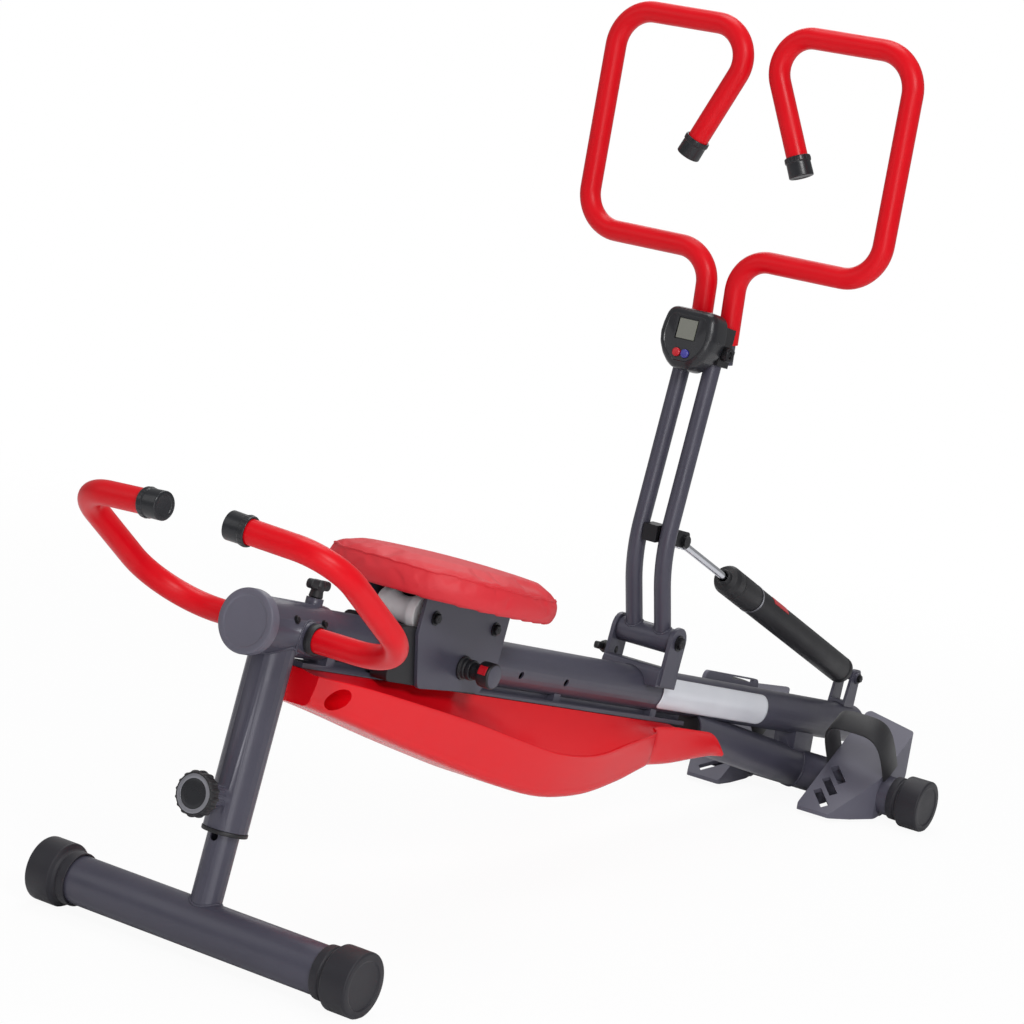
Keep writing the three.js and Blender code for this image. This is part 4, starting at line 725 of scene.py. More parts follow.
def end_tree(tree: Tree, given: Sockets, made: Socket, smooth: bool = False) -> Tree:
    """Ends a tree in Realize Instances and Set Material.

    Args:
        tree: the tree.
        given: its inputs.
        made: the socket that holds what it made.
        smooth: shades the result smooth first.

    Returns:
        The tree.
    """
    if smooth:
        made = add_node(tree, "GeometryNodeSetShadeSmooth", None, {"Geometry": made}).outputs[0]
    real = add_node(tree, "GeometryNodeRealizeInstances", None, {"Geometry": made})
    dressed = add_node(tree, "GeometryNodeSetMaterial", None,
                       {"Geometry": real.outputs[0], "Material": given["Material"]})
    add_node(tree, "NodeGroupOutput", None, {"Geometry": dressed.outputs[0]})
    return tree


def drawn_ball(tree: Tree, wide: Socket, long: Socket, segments: int, rings: int) -> dict[str, Socket]:
    """Ball drawn out along its axis, as the instance of an Instance on Points node.

    Args:
        tree: the tree that gets the nodes.
        wide: socket of the radius across.
        long: socket of the radius along the axis.
        segments: faces round the ball.
        rings: faces from pole to pole.

    Returns:
        The instance and its scale, by the names of that node's inputs.
    """
    ball = add_node(tree, "GeometryNodeMeshUVSphere", None, {"Segments": segments, "Rings": rings, "Radius": 1.0})
    size = add_node(tree, "ShaderNodeCombineXYZ", None, {0: wide, 1: wide, 2: long})
    return {"Instance": ball.outputs["Mesh"], "Scale": size.outputs[0]}


def on_axes(tree: Tree, inputs: dict[str, Socket]) -> Socket:
    """Lays instances on points, each turned along its point's axis attribute.

    Args:
        tree: the tree that gets the nodes.
        inputs: points, instance and scale.

    Returns:
        The socket that holds the instances.
    """
    way = add_node(tree, "GeometryNodeInputNamedAttribute", {"data_type": "FLOAT_VECTOR"}, {"Name": "axis"})
    turn = add_node(tree, "FunctionNodeAlignRotationToVector", {"axis": "Z"}, {"Vector": way.outputs[0]})
    laid = add_node(tree, "GeometryNodeInstanceOnPoints", None, {**inputs, "Rotation": turn.outputs[0]})
    return laid.outputs[0]


class Growth(Enum):
    """The node trees for what follows a path, lies on points or rings an axis."""

    TUBE = "tube_along_path"
    BEADS = "beads_along_path"
    BOLTS = "bolt_heads_on_points"
    RIBS = "ribs_round_axis"

    def tree(self) -> Tree:
        """The tree, made once."""
        found = bpy.data.node_groups.get(self.value)
        return found or {Growth.TUBE: tube_tree, Growth.BEADS: bead_tree, Growth.BOLTS: bolt_tree,
                         Growth.RIBS: rib_tree}[self](self.value)


def tube_tree(name: str) -> Tree:
    """Round tube along a line of edges: Radius and Sides.

    Args:
        name: the tree's name.

    Returns:
        The tree.
    """
    tree, given = new_tree(name, Radius=0.01, Sides=32)
    line = add_node(tree, "GeometryNodeMeshToCurve", None, {"Mesh": given["Geometry"]})
    ring = add_node(tree, "GeometryNodeCurvePrimitiveCircle", None,
                    {"Resolution": given["Sides"], "Radius": given["Radius"]})
    skin = add_node(tree, "GeometryNodeCurveToMesh", None,
                    {"Curve": line.outputs[0], "Profile Curve": ring.outputs[0], "Fill Caps": True})
    return end_tree(tree, given, skin.outputs[0])


def bead_tree(name: str) -> Tree:
    """Small long beads at an even pitch along a line, for weld ripples, with Pitch, Width and Length.

    Args:
        name: the tree's name.

    Returns:
        The tree.
    """
    tree, given = new_tree(name, Pitch=0.002, Width=0.001, Length=0.001)
    line = add_node(tree, "GeometryNodeMeshToCurve", None, {"Mesh": given["Geometry"]})
    spots = add_node(tree, "GeometryNodeCurveToPoints", {"mode": "LENGTH"},
                     {"Curve": line.outputs[0], "Length": given["Pitch"]})
    laid = add_node(tree, "GeometryNodeInstanceOnPoints", None, {
        "Points": spots.outputs["Points"], "Rotation": spots.outputs["Rotation"],
        **drawn_ball(tree, given["Width"], given["Length"], 10, 6)})
    return end_tree(tree, given, laid.outputs[0], smooth=True)


def bolt_tree(name: str) -> Tree:
    """Hexagon heads on washers, one on each point along its axis attribute: Radius.

    Args:
        name: the tree's name.

    Returns:
        The tree.
    """
    tree, given = new_tree(name, Radius=0.006)
    parts = []
    for sides, low_share, high_share, base, height in (
            (32, 1.3, 1.3, -0.05, 0.22), (6, 1.0, 1.0, 0.15, 0.5),
            (6, 1.0, 0.82, 0.65, 0.14), (24, 0.34, 0.3, 0.77, 0.08)):
        cone = add_node(tree, "GeometryNodeMeshCone", None,
                        {"Vertices": sides, "Radius Top": high_share, "Radius Bottom": low_share, "Depth": height})
        lifted = add_node(tree, "GeometryNodeTransform", None,
                          {"Geometry": cone.outputs["Mesh"], "Translation": (0.0, 0.0, base)})
        parts.append(lifted.outputs[0])
    head = add_node(tree, "GeometryNodeJoinGeometry", None, {"Geometry": parts})
    laid = on_axes(tree, {"Points": given["Geometry"], "Instance": head.outputs[0], "Scale": given["Radius"]})
    return end_tree(tree, given, laid)


def rib_tree(name: str) -> Tree:
    """Rings of round ribs that stand along each point's axis attribute: Count, Ring, Radius and Length.

    Args:
        name: the tree's name.

    Returns:
        The tree.
    """
    tree, given = new_tree(name, Count=24, Ring=0.02, Radius=0.001, Length=0.01)
    ring = add_node(tree, "GeometryNodeMeshCircle", None, {"Vertices": given["Count"], "Radius": given["Ring"]})
    one = add_node(tree, "GeometryNodeInstanceOnPoints", None,
                   {"Points": ring.outputs[0], **drawn_ball(tree, given["Radius"], given["Length"], 12, 10)})
    laid = on_axes(tree, {"Points": given["Geometry"], "Instance": one.outputs[0]})
    return end_tree(tree, given, laid, smooth=True)


def grown(name: str, growth: Growth, points: Sequence[Vector], values: dict[str, float], finish: Finish,
          axes: Sequence[Vector] | None = None) -> Piece:
    """Runs a node tree on a line, or on loose points with axes, and keeps the result as a plain mesh.

    Args:
        name: the object's name.
        growth: which tree.
        points: places in row metres.
        values: the tree's sizes, in metres.
        finish: what the result is made of.
        axes: direction of each loose point; without them the points are joined into a line.

    Returns:
        A mesh object at the origin.
    """
    source = bpy.data.meshes.new(name + "_source")
    line = [] if axes else [(i, i + 1) for i in range(len(points) - 1)]
    source.from_pydata([tuple(p) for p in points], line, [])
    if axes:
        attribute = source.attributes.new("axis", "FLOAT_VECTOR", "POINT")
        attribute.data.foreach_set("vector", [c for axis in axes for c in axis])
    holder = linked(name + "_source", source)
    modifier = holder.modifiers.new("growth", "NODES")
    modifier.node_group = growth.tree()
    values = {**values, "Material": finish.material()}
    for item in modifier.node_group.interface.items_tree:
        if item.in_out == "INPUT" and item.name in values:
            modifier[item.identifier] = values[item.name]
    mesh = settled(holder).data
    bpy.data.objects.remove(holder)
    return linked(name, mesh) if growth is Growth.BOLTS else show(name, mesh, 40)


def tube(name: str, points: Sequence[Vector], radius: float, matrix: Matrix, finish: Finish,
         sides: int = 40) -> Piece:
    """Round tube along local points, in millimetres."""
    return grown(name, Growth.TUBE, [matrix @ p for p in points], {"Radius": radius * MM, "Sides": sides}, finish)


def weld(name: str, line: Sequence[Vector], matrix: Matrix, body: str, width: float = 1.7) -> Piece:
    """Weld bead of overlapping ripples along a local line, under the paint."""
    sizes = {"Pitch": 1.1 * MM, "Width": width * MM, "Length": 1.1 * MM}
    return mounted(grown(name, Growth.BEADS, [matrix @ p for p in line], sizes, POWDER_COAT), body, POWDER_COAT)


def planted(name: str, growth: Growth, spots: Spots, sizes: dict[str, float], matrix: Matrix, body: str,
            finish: Finish) -> Piece:
    """Grows a piece on each local point along its local direction, and mounts the result.

    Args:
        name: the object's name.
        growth: which tree.
        spots: pairs of a local point and a local direction.
        sizes: the tree's sizes, in metres.
        matrix: from the local frame to row metres.
        body: the CAD body that carries it.
        finish: what it is made of.

    Returns:
        The mounted piece.
    """
    turn = matrix.to_3x3().normalized()
    axes = [turn @ axis for _, axis in spots]
    return mounted(grown(name, growth, [matrix @ p for p, _ in spots], sizes, finish, axes), body, finish)


def bolts(name: str, spots: Spots, radius: float, matrix: Matrix, body: str) -> Piece:
    """Hexagon bolt heads at local points with local directions."""
    return planted(name, Growth.BOLTS, spots, {"Radius": radius * MM}, matrix, body, BLACK_OXIDE)


def ribs(name: str, spot: tuple[Vector, Vector], count: int, sizes: tuple[float, float, float], matrix: Matrix,
         body: str, finish: Finish) -> Piece:
    """Ring of round ribs for a grip, centred at a local point round a local direction.

    Args:
        name: the object's name.
        spot: the ring's centre and axis.
        count: how many ribs.
        sizes: radius of the ring, radius of a rib and half its length.
        matrix: from the local frame to row metres.
        body: the CAD body that carries it.
        finish: what it is made of.

    Returns:
        The mounted ribs.
    """
    ring, radius, length = (size * MM for size in sizes)
    values = {"Count": count, "Ring": ring, "Radius": radius, "Length": length}
    return planted(name, Growth.RIBS, [spot], values, matrix, body, finish)


def both_ends(reach: float) -> Spots:
    """Points at a reach to each side, with the directions outwards."""
    return [(Vector((0, hand.value * reach, 0)), Vector((0, hand.value, 0))) for hand in Hand]


# Sub-assemblies


@dataclass
class Foot:
    """Tube across the floor with a moulded rubber cap on each end."""

    label: str
    body: str
    place: Place
    half: float
    tube_radius: float = 25
    cap_radius: float = 33
    cap_length: float = 46
    cap_end: float = 6
    collar_radius: float = 27.5
    collar_length: float = 12

    def build(self) -> None:
        """Makes the tube and its two caps."""
        reach = self.half - self.cap_end - GAP
        bar = round_bar(f"{self.label}_foot_tube", self.tube_radius, reach, 1.0, self.place.matrix(), 64)
        mounted(bar, self.body, POWDER_COAT, f"{self.label}_stabiliser_tube")
        for hand in Hand:
            self._cap(hand)

    def _cap(self, hand: Hand) -> None:
        """Makes one cap, flat where it stands on the floor, with a grooved step down to its collar.

        Args:
            hand: the tube's end that it covers.
        """
        end, mouth = self.half, self.half - self.cap_length
        rim, collar, bore = self.cap_radius, self.collar_radius, self.tube_radius + GAP
        step = mouth + self.collar_length
        outer = [
            (0, end - 1.2), (rim - 9, end - 1.2), (rim - 8, end), (rim, end), (rim, step + 5),
            (collar + 1, step + 2.5), (collar - 1, step), (collar - 1, step - 2), (collar + 0.3, step - 3),
            (collar, mouth), (bore, mouth), (bore, end - self.cap_end), (0, end - self.cap_end),
        ]
        cap = lathe(f"{self.label}_foot_cap_{hand.label}", soft_profile(outer, 2.2, 4), self.place.matrix(),
                    hand.outwards, 72)
        for vertex in cap.data.vertices:
            vertex.co.z = max(vertex.co.z, 0.0)
        mounted(cap, self.body, RUBBER, f"{self.label}_end_cap_{hand.label}")


@dataclass
class RearPost:
    """Telescopic post: inner tube on the rear foot, outer tube, bushing and the sprung height knob."""

    length: float = 301
    outer_radius: float = 22.5
    inner_radius: float = 16
    outer_end: float = 204
    lip: float = 4.5
    lip_radius: float = 23.4
    sleeve_radius: float = 27.7
    foot_radius: float = 25
    knob_drop: float = 172
    pin_tip: float = 16.8
    boss_middle: float = 36.5
    boss_end: float = 46.5
    knob_radius: float = 23.3
    knob_length: float = 15

    def build(self) -> None:
        """Makes the post's pieces."""
        mounted(refined("inner_post", "leg_inner_tube"), "rear_leg", POWDER_COAT)
        mounted(refined("outer_post", "leg_outer_tube"), "frame", POWDER_COAT)
        place = RAIL.matrix()
        low, top = -self.outer_end - self.lip, -self.outer_end - GAP
        bore, liner, inside = self.inner_radius + GAP, self.outer_radius - 2.3, top + 20
        turned("leg_bushing", [
            (bore, low), (self.lip_radius, low), (self.lip_radius, top), (liner, top), (liner, inside),
            (bore, inside), (bore, low)], 0.9, place, Along.Z, "frame", MOULDED_BLACK, "post_bushing")
        down, foot = Vector((0, 0, -1)), Vector((0, 0, -self.length))
        weld("leg_head_weld", saddle_line(Vector(), down, Vector((1, 0, 0)), self.outer_radius, self.sleeve_radius),
             place, "frame")
        weld("leg_foot_weld", saddle_line(foot, -down, Vector((0, 1, 0)), self.inner_radius, self.foot_radius),
             place, "rear_leg", 1.5)
        self._knob()

    def _knob(self) -> None:
        """Makes the ribbed pull knob with its plain face ring."""
        place = RAIL.at(0, 0, -self.knob_drop)
        start = self.boss_end + GAP
        grip = start + 6
        face = grip + self.knob_length
        core = self.knob_radius - 1.6
        turned("height_knob_grip", [
            (0, self.pin_tip), (4, self.pin_tip), (4, start), (8, start), (8.6, grip), (core - 2, grip),
            (core, grip + 3), (core, face - 3), (core - 1.5, face), (19.6, face), (19.6, face - 1.4), (0, face - 1.4)],
               1.0, place, Along.BACK_X, "height_knob", MOULDED_BLACK, "height_knob", count=72)
        back = Vector((-1, 0, 0))
        ribs("height_knob_ribs", (back * (grip + face) / 2, back), 16, (core - 1.4, 3.0, self.knob_length / 2 + 0.2),
             place, "height_knob", MOULDED_BLACK)
        ribs("height_knob_boss_ribs", (back * self.boss_middle, back), 14, (10.7, 1.2, 8.5), place, "frame",
             POWDER_COAT)
        turned("height_knob_ring", [
            (15.0, face - 1.5), (19.3, face - 1.5), (19.3, face - 0.3), (15.0, face - 0.5), (15.0, face - 1.5)],
               0.3, place, Along.BACK_X, "height_knob", ZINC)
        turned("height_knob_face", [
            (0, face - 1.5), (14.8, face - 1.5), (14.8, face - 0.8), (11, face - 0.5), (0, face - 0.4)],
               0.3, place, Along.BACK_X, "height_knob", ABS_BLACK)


@dataclass
class RearHead:
    """Sleeve on the rail's rear end, its end cap, the cross socket's welds and screws, and the rail's wing screw."""

    sleeve_radius: float = 27.7
    rear: float = 50
    cap_radius: float = 32.5
    cap_length: float = 13
    cap_end: float = 7.7
    socket_s: float = 16
    socket_n: float = -3.5
    socket_radius: float = 16.5
    screws_s: tuple[float, float] = (-9, 39)
    screws_at: tuple[float, float] = (24.8, 12)
    screw_head: float = 3.4
    wing_s: float = 48
    wing_base: float = 34.3
    wings: tuple[float, float] = (10.5, 10)

    def build(self) -> None:
        """Makes the head's pieces."""
        place = RAIL.matrix()
        mounted(refined("rear_head_sleeve", "rail_head_sleeve"), "frame", POWDER_COAT)
        start, mouth = -self.rear - self.cap_end - GAP, -self.rear - GAP
        lip, rim, bore = start + self.cap_length, self.cap_radius, self.sleeve_radius + 0.5
        turned("rail_rear_cap", [
            (0, start + 1), (rim - 8, start + 1), (rim - 6.5, start), (rim, start), (rim, lip), (bore, lip),
            (bore, mouth), (0, mouth)], 2.6, place, Along.X, "frame", MOULDED_GREY, "rail_end_cap", steps=4, count=72)
        for hand in Hand:
            line = []
            for i in range(WELD_CHORDS + 1):
                angle = math.tau * i / WELD_CHORDS
                n = self.socket_n + self.socket_radius * math.sin(angle)
                y = math.sqrt(self.sleeve_radius ** 2 - n * n)
                line.append(Vector((self.socket_s + self.socket_radius * math.cos(angle), hand.value * y, n)))
            weld(f"socket_weld_{hand.label}", line, place, "frame", 1.5)
        across, up = self.screws_at
        side = [(Vector((s, hand.value * across, up)), Vector((0, hand.value * 0.9, 0.44)))
                for hand in Hand for s in self.screws_s]
        bolts("socket_screws", side, self.screw_head, place, "frame")
        winged_screw("rail_wing_screw", RAIL.at(self.wing_s, 0, 0), Along.Z, self.wing_base, *self.wings)


def winged_screw(node: str, matrix: Matrix, along: Along, base: float, span: float, rise: float) -> None:
    """Moulded wing screw that stands on its base along one axis.

    Args:
        node: the CAD node it stands for, which is also its body's name.
        matrix: local frame.
        along: the screw's axis.
        base: where the moulding starts along the axis.
        span: half the distance between the wings' round ends.
        rise: height of the wings.
    """
    tip, top = 7, base + 8
    hub = lathe(node + "_body_hub", soft_profile([
        (0, base - 6), (3.9, base - 6), (3.9, base), (7.4, base), (6.4, top - 1), (7.8, top + rise * 0.4),
        (5.5, top + rise), (0, top + rise)], 1.2, 4), matrix, along, 40)
    rings = []
    for y, share in ((-4.3, 0.72), (-3.2, 0.94), (-1.6, 1.0), (1.6, 1.0), (3.2, 0.94), (4.3, 0.72)):
        half, low, high = span + tip * share, top + rise * (1 - share) / 2, top + rise * (1 + share) / 2
        outline = rounded_outline([(-half, low), (half, low), (half, high), (-half, high)], [rise * 0.45 * share])
        rings.append([Vector((x, y, z)) for x, z in outline])
    wings = stacked(node + "_body_wings", rings, matrix @ along.value, 60)
    mounted(joined(node + "_body", hub, wings), node, MOULDED_BLACK, node)


@dataclass
class FoamGrip:
    """Foam covered tube on a bent path with a bare end in its socket and a moulded cap on the far end."""

    label: str
    node: str
    hand: Hand
    body: str
    corners: list[Vector]
    bends: Sequence[float]
    bare: float
    tube_radius: float = 10
    foam_radius: float = 12.5
    cap_radius: float = 15
    cap_length: float = 24
    cap_end: float = 5

    def build(self) -> None:
        """Makes the sleeve, the bare tube end, the cap and the cap's ribbed mouth."""
        place, name = MACHINE.matrix(), f"{self.label}_{self.hand.label}"
        first = (self.corners[1] - self.corners[0]).normalized()
        start = self.corners[0] + first * self.bare
        path = rounded_path([start, *self.corners[1:]], self.bends)
        sleeve = tube(f"{name}_foam", path, self.foam_radius, place, FOAM)
        mounted(sleeve, self.body, FOAM, f"{self.node}_{self.hand.label}")
        ends = [self.corners[0], start + first * 4]
        bare = tube(f"{name}_tube_end", ends, self.tube_radius, place, POWDER_COAT, 32)
        mounted(bare, self.body, POWDER_COAT)
        self._cap(name)

    def _cap(self, name: str) -> None:
        """Makes the end cap along the last run of the path, with its ribs.

        Args:
            name: start of the pieces' names.
        """
        way = (self.corners[-1] - self.corners[-2]).normalized()
        turn = Vector((0, 0, 1)).rotation_difference(way).to_matrix().to_4x4()
        place = MACHINE.matrix() @ Matrix.Translation(self.corners[-1]) @ turn
        end, rim, bore = self.cap_end, self.cap_radius, self.foam_radius + GAP
        mouth = end - self.cap_length
        turned(f"{name}_cap", [
            (0, GAP), (bore, GAP), (bore, mouth), (rim - 0.4, mouth), (rim, mouth + 1), (rim, mouth + 6),
            (rim - 0.9, mouth + 7), (rim - 0.6, end), (rim - 5, end), (rim - 5.6, end - 0.8), (0, end - 0.8)],
               1.4, place, Along.Z, self.body, ABS_BLACK, f"{self.node}_cap_{self.hand.label}", steps=4, count=56)
        spot = (Vector((0, 0, mouth + 3.6)), Vector((0, 0, 1)))
        ribs(f"{name}_cap_ribs", spot, 20, (rim - 0.5, 0.9, 3.2), place, self.body, MOULDED_BLACK)


@dataclass
class PushUpHandles:
    """The two foam covered handles beside the rear head, with a collar at each socket."""

    socket: tuple[float, float] = (71.614, 321.195)
    spigot_y: float = 27
    leg_y: float = 158
    top_y: float = 156
    side: float = 199
    end_y: float = 44
    end_rise: float = 211.2
    lean_deg: float = 36.8
    bends: tuple[float, float] = (72, 50)
    bare: float = 10

    def _point(self, hand: Hand, y: float, rise: float) -> Vector:
        """Machine point of one handle at a reach across and up the lean."""
        (x, z), lean = self.socket, math.radians(self.lean_deg)
        return Vector((x - rise * math.cos(lean), hand.value * y, z + rise * math.sin(lean)))

    def build(self) -> None:
        """Makes both handles and their collars."""
        for hand in Hand:
            corners = [self._point(hand, y, rise) for y, rise in (
                (self.spigot_y, 0), (self.leg_y, 0), (self.top_y, self.side), (self.end_y, self.end_rise))]
            FoamGrip("push_up_handle", "pushup_handle", hand, "frame", corners, self.bends, self.bare).build()
            turned(f"socket_collar_{hand.label}", [
                (10.4, 31.3), (15.6, 31.3), (15.8, 35), (14.6, 39), (12.8, 39), (12.8, 36.8), (10.4, 36.8),
                (10.4, 31.3)], 0.6, MACHINE.at(self.socket[0], 0, self.socket[1]), hand.outwards, "frame",
                   MOULDED_BLACK, count=48)


@dataclass
class Rail:
    """Main rail tube, the flat bar below it, the bare badge plate and the carry loop."""

    radius: float = 25
    badge_rear: float = 762
    badge_front: float = 1043
    badge_half_arc_deg: float = 46
    badge_round: float = 9
    badge_border: float = 2.4
    badge_thickness: float = 0.8

    def build(self) -> None:
        """Makes the rail's pieces."""
        mounted(refined("main_rail", "rail_tube"), "frame", POWDER_COAT)
        mounted(refined("hull_bar", "hull_flat_bar"), "frame", POWDER_COAT)
        mounted(refined("carry_loop", "carry_loop_moulding", 0.8), "frame", MOULDED_GREY)
        mounted(self._badge(), "frame", BADGE, "badge_plate")

    def _badge(self) -> Piece:
        """Bare plate with rounded corners, bent round the rail's near side.

        Returns:
            The plate, with a raised border and no marks.
        """
        rows = 24
        half_width = math.radians(self.badge_half_arc_deg) * self.radius
        verts, faces = [], []
        for i in range(rows + 1):
            v = -half_width + 2 * half_width * i / rows
            over = max(abs(v) - (half_width - self.badge_round), 0)
            draw = self.badge_round - math.sqrt(max(self.badge_round ** 2 - over ** 2, 0))
            angle = math.pi + v / self.radius
            rear, front = self.badge_rear + draw, self.badge_front - draw
            for k, x in enumerate((rear, rear + self.badge_border, front - self.badge_border, front)):
                raised = k in (0, 3) or i in (0, 1, rows - 1, rows)
                r = self.radius + 0.35 + (0.25 if raised else 0)
                verts.append((x, r * math.cos(angle), r * math.sin(angle)))
        for i in range(rows):
            for k in range(3):
                faces.append([i * 4 + k, i * 4 + k + 1, i * 4 + k + 5, i * 4 + k + 4])
        plate = make_piece("rail_badge_plate", verts, faces, RAIL.matrix(), 60)
        if plate.data.polygons[0].normal.dot(Vector((0, -1, 0))) < 0:
            plate.data.flip_normals()
        wall = plate.modifiers.new("thickness", "SOLIDIFY")
        wall.thickness = self.badge_thickness * MM
        wall.offset = 1
        return plate


@dataclass
class Hull:
    """Red hull under the rail, lofted through its stations, with a deck that rises to the flat bar."""

    x: tuple[float, ...] = (84, 170, 260, 360, 450, 540, 630, 710, 757, 784, 796, 850, 915, 950, 976)
    top: tuple[float, ...] = (284, 263, 238, 209, 180, 153, 139, 141, 142, 143, 146, 139, 128, 115, 91)
    bottom: tuple[float, ...] = (250, 220, 187, 152, 122, 98, 88, 90, 95, 97, 97, 92, 90, 88.5, 87)
    half_top: tuple[float, ...] = (37, 41, 45, 49, 53, 55, 52, 46, 42, 38, 30, 30, 30, 30, 29.5)
    half_bottom: tuple[float, ...] = (31, 35, 38, 42, 45, 46, 44, 39, 36, 33, 29.5, 29.5, 29.5, 29.5, 29)
    rail_origin: tuple[float, float] = (56.56, 327.64)
    deck_half: float = 16
    deck_drop: float = 36.3
    bilge: float = 11
    rim: float = 3.2
    hole: tuple[float, float, float, float] = (125, 255, 19, 11.5)
    strut_radius: float = 26

    def _between(self, values: Sequence[float], u: float) -> float:
        """Value at a place between stations, on a smooth curve through them.

        Args:
            values: one value for each station.
            u: place along the hull, counted in stations.

        Returns:
            The value there.
        """
        i = min(int(u), len(values) - 2)
        t = u - i
        a, b, c, d = (values[min(max(i + k, 0), len(values) - 1)] for k in (-1, 0, 1, 2))
        return 0.5 * (2 * b + (c - a) * t + (2 * a - 5 * b + 4 * c - d) * t ** 2 + (3 * b - a - 3 * c + d) * t ** 3)

    def _section(self, u: float) -> list[Vector]:
        """Closed section: deck, rolled rim, side, bilge and floor, then the same on the other side.

        Args:
            u: place along the hull, counted in stations.

        Returns:
            Points of the section.
        """
        x, top, low = (self._between(v, u) for v in (self.x, self.top, self.bottom))
        upper, lower = self._between(self.half_top, u), self._between(self.half_bottom, u)
        start, height = self.rail_origin
        deck = height - (x - start) * math.tan(math.radians(RAIL.turn_deg)) - self.deck_drop
        top = min(top, deck - 0.6)
        bilge = min(self.bilge, (top - low) * 0.45)
        inner = upper - self.rim
        over = [(self.deck_half * share, deck) for share in (0, 0.5, 1)]
        over += [(self.deck_half + (inner - self.deck_half) * t, deck + (top - 1 - deck) * t ** 0.8) for t in
                 (0.15, 0.3, 0.5, 0.7, 0.85, 1)]
        rim = [(inner + 0.7, top - 0.3), (upper - 1.6, top), (upper - 0.5, top - 0.4), (upper, top - 1.6)]
        side = [(upper + (lower - upper) * t + math.sin(math.pi * t) * 0.8, top + (low + bilge - top) * t)
                for t in (k / 9 for k in range(1, 9))]
        arc = [(lower - bilge + bilge * math.cos(a), low + bilge - bilge * math.sin(a))
               for a in (math.pi / 2 * k / 7 for k in range(8))]
        floor = [((lower - bilge) * share, low) for share in (0.75, 0.5, 0.25, 0)]
        half = over + rim + side + arc + floor
        return [Vector((x, y, z)) for y, z in half] + [Vector((x, -y, z)) for y, z in reversed(half[1:-1])]

    def build(self) -> None:
        """Makes the moulding with an oval hole from side to side and the mouth for the strut."""
        rows = [self._section(i / 5) for i in range(5 * (len(self.x) - 1) + 1)]
        shell = stacked("hull_moulding", rows, MACHINE.matrix(), 42)
        x, z, half_length, half_height = self.hole
        oval = [(x + a, z + b) for a, b in super_ellipse(half_length, half_height, 2, 48)]
        hole = slab("hole_cutter", oval, -60, 60, MACHINE.matrix())
        strut = lathe("strut_cutter", bar_profile(self.strut_radius, 0, 400), STRUT.matrix(), Along.BACK_X, 48)
        mounted(carved(shell, hole, strut), "frame", SHELL, "hull_shell")


@dataclass
class FrontStrut:
    """Strut from the front foot to the underside of the rail, with a plug in its upper end."""

    radius: float = 25
    bore: float = 22.4
    plug_base: float = 325

    def build(self) -> None:
        """Makes the strut, the plug in its upper end and its weld."""
        mounted(refined("front_strut", "front_strut_tube"), "frame", POWDER_COAT)
        slope, base = math.radians(STRUT.turn_deg), self.plug_base
        back = Vector((-math.cos(slope), 0, math.sin(slope)))
        plug = [(0, base), (self.bore, base), (self.bore, base + 6.5), (self.bore - 1.4, base + 8), (0, base + 8.4)]
        mounted(lathe("strut_plug", plug, STRUT.matrix(), Along.BACK_X), "frame", MOULDED_BLACK)
        weld("strut_weld", saddle_line(Vector(), back, Vector((0, 1, 0)), self.radius, self.radius + 0.2),
             FRONT_FOOT.matrix(), "frame")


@dataclass
class Carriage:
    """Seat carriage: plates, two rollers on axle bolts, guide shoes and the seat board."""

    body: str = "seat_carriage"
    s: float = 270
    plate_y: float = 40
    bolt_half: float = 60
    axle_n: float = 39.5
    roller_half: float = 25
    roller_radius: float = 19.2
    waist_half: float = 15
    bore: float = 5.3
    bolt_head: float = 5.8
    rail_radius: float = 25.3

    def build(self) -> None:
        """Makes the carriage's pieces."""
        mounted(refined("carriage_frame", "seat_carriage_plates", 0.7), self.body, POWDER_COAT)
        for hand in Hand:
            shoe = refined(f"guide_shoe_{hand.label}", f"seat_guide_shoe_{hand.label}", 0.6)
            mounted(shoe, self.body, MOULDED_BLACK)
        mounted(refined("seat_board", "seat_base_board", 0.8), self.body, MOULDED_BLACK)
        for label, x in (("rear", -self.bolt_half), ("front", self.bolt_half)):
            self._roller(label, RAIL.at(self.s + x, 0, self.axle_n))

    def _roller(self, label: str, matrix: Matrix) -> None:
        """Makes one waisted roller and its axle bolt.

        Args:
            label: which roller.
            matrix: the axle's frame.
        """
        half, radius, neck = self.roller_half, self.roller_radius, self.waist_half
        waist = []
        for i in range(-8, 9):
            y = neck * i / 8
            waist.append((self.axle_n - math.sqrt(self.rail_radius ** 2 - y * y), y))
        profile = [
            (self.bore, -half), (radius - 1, -half), (radius, 1 - half), (radius, -neck - 2), *waist,
            (radius, neck + 2), (radius, half - 1), (radius - 1, half), (self.bore, half), (self.bore, -half)]
        roller = lathe(f"{label}_nylon_roller", profile, matrix, Along.Y, 72)
        mounted(roller, f"{label}_roller", NYLON, f"{label}_roller")
        rod = round_bar(f"{label}_axle_rod", self.bore - 0.4, self.plate_y + 0.6, 0.4, matrix, 32)
        mounted(rod, self.body, BLACK_OXIDE, f"{label}_axle_bolt")
        bolts(f"{label}_axle_heads", both_ends(self.plate_y + 0.4), self.bolt_head, matrix, self.body)


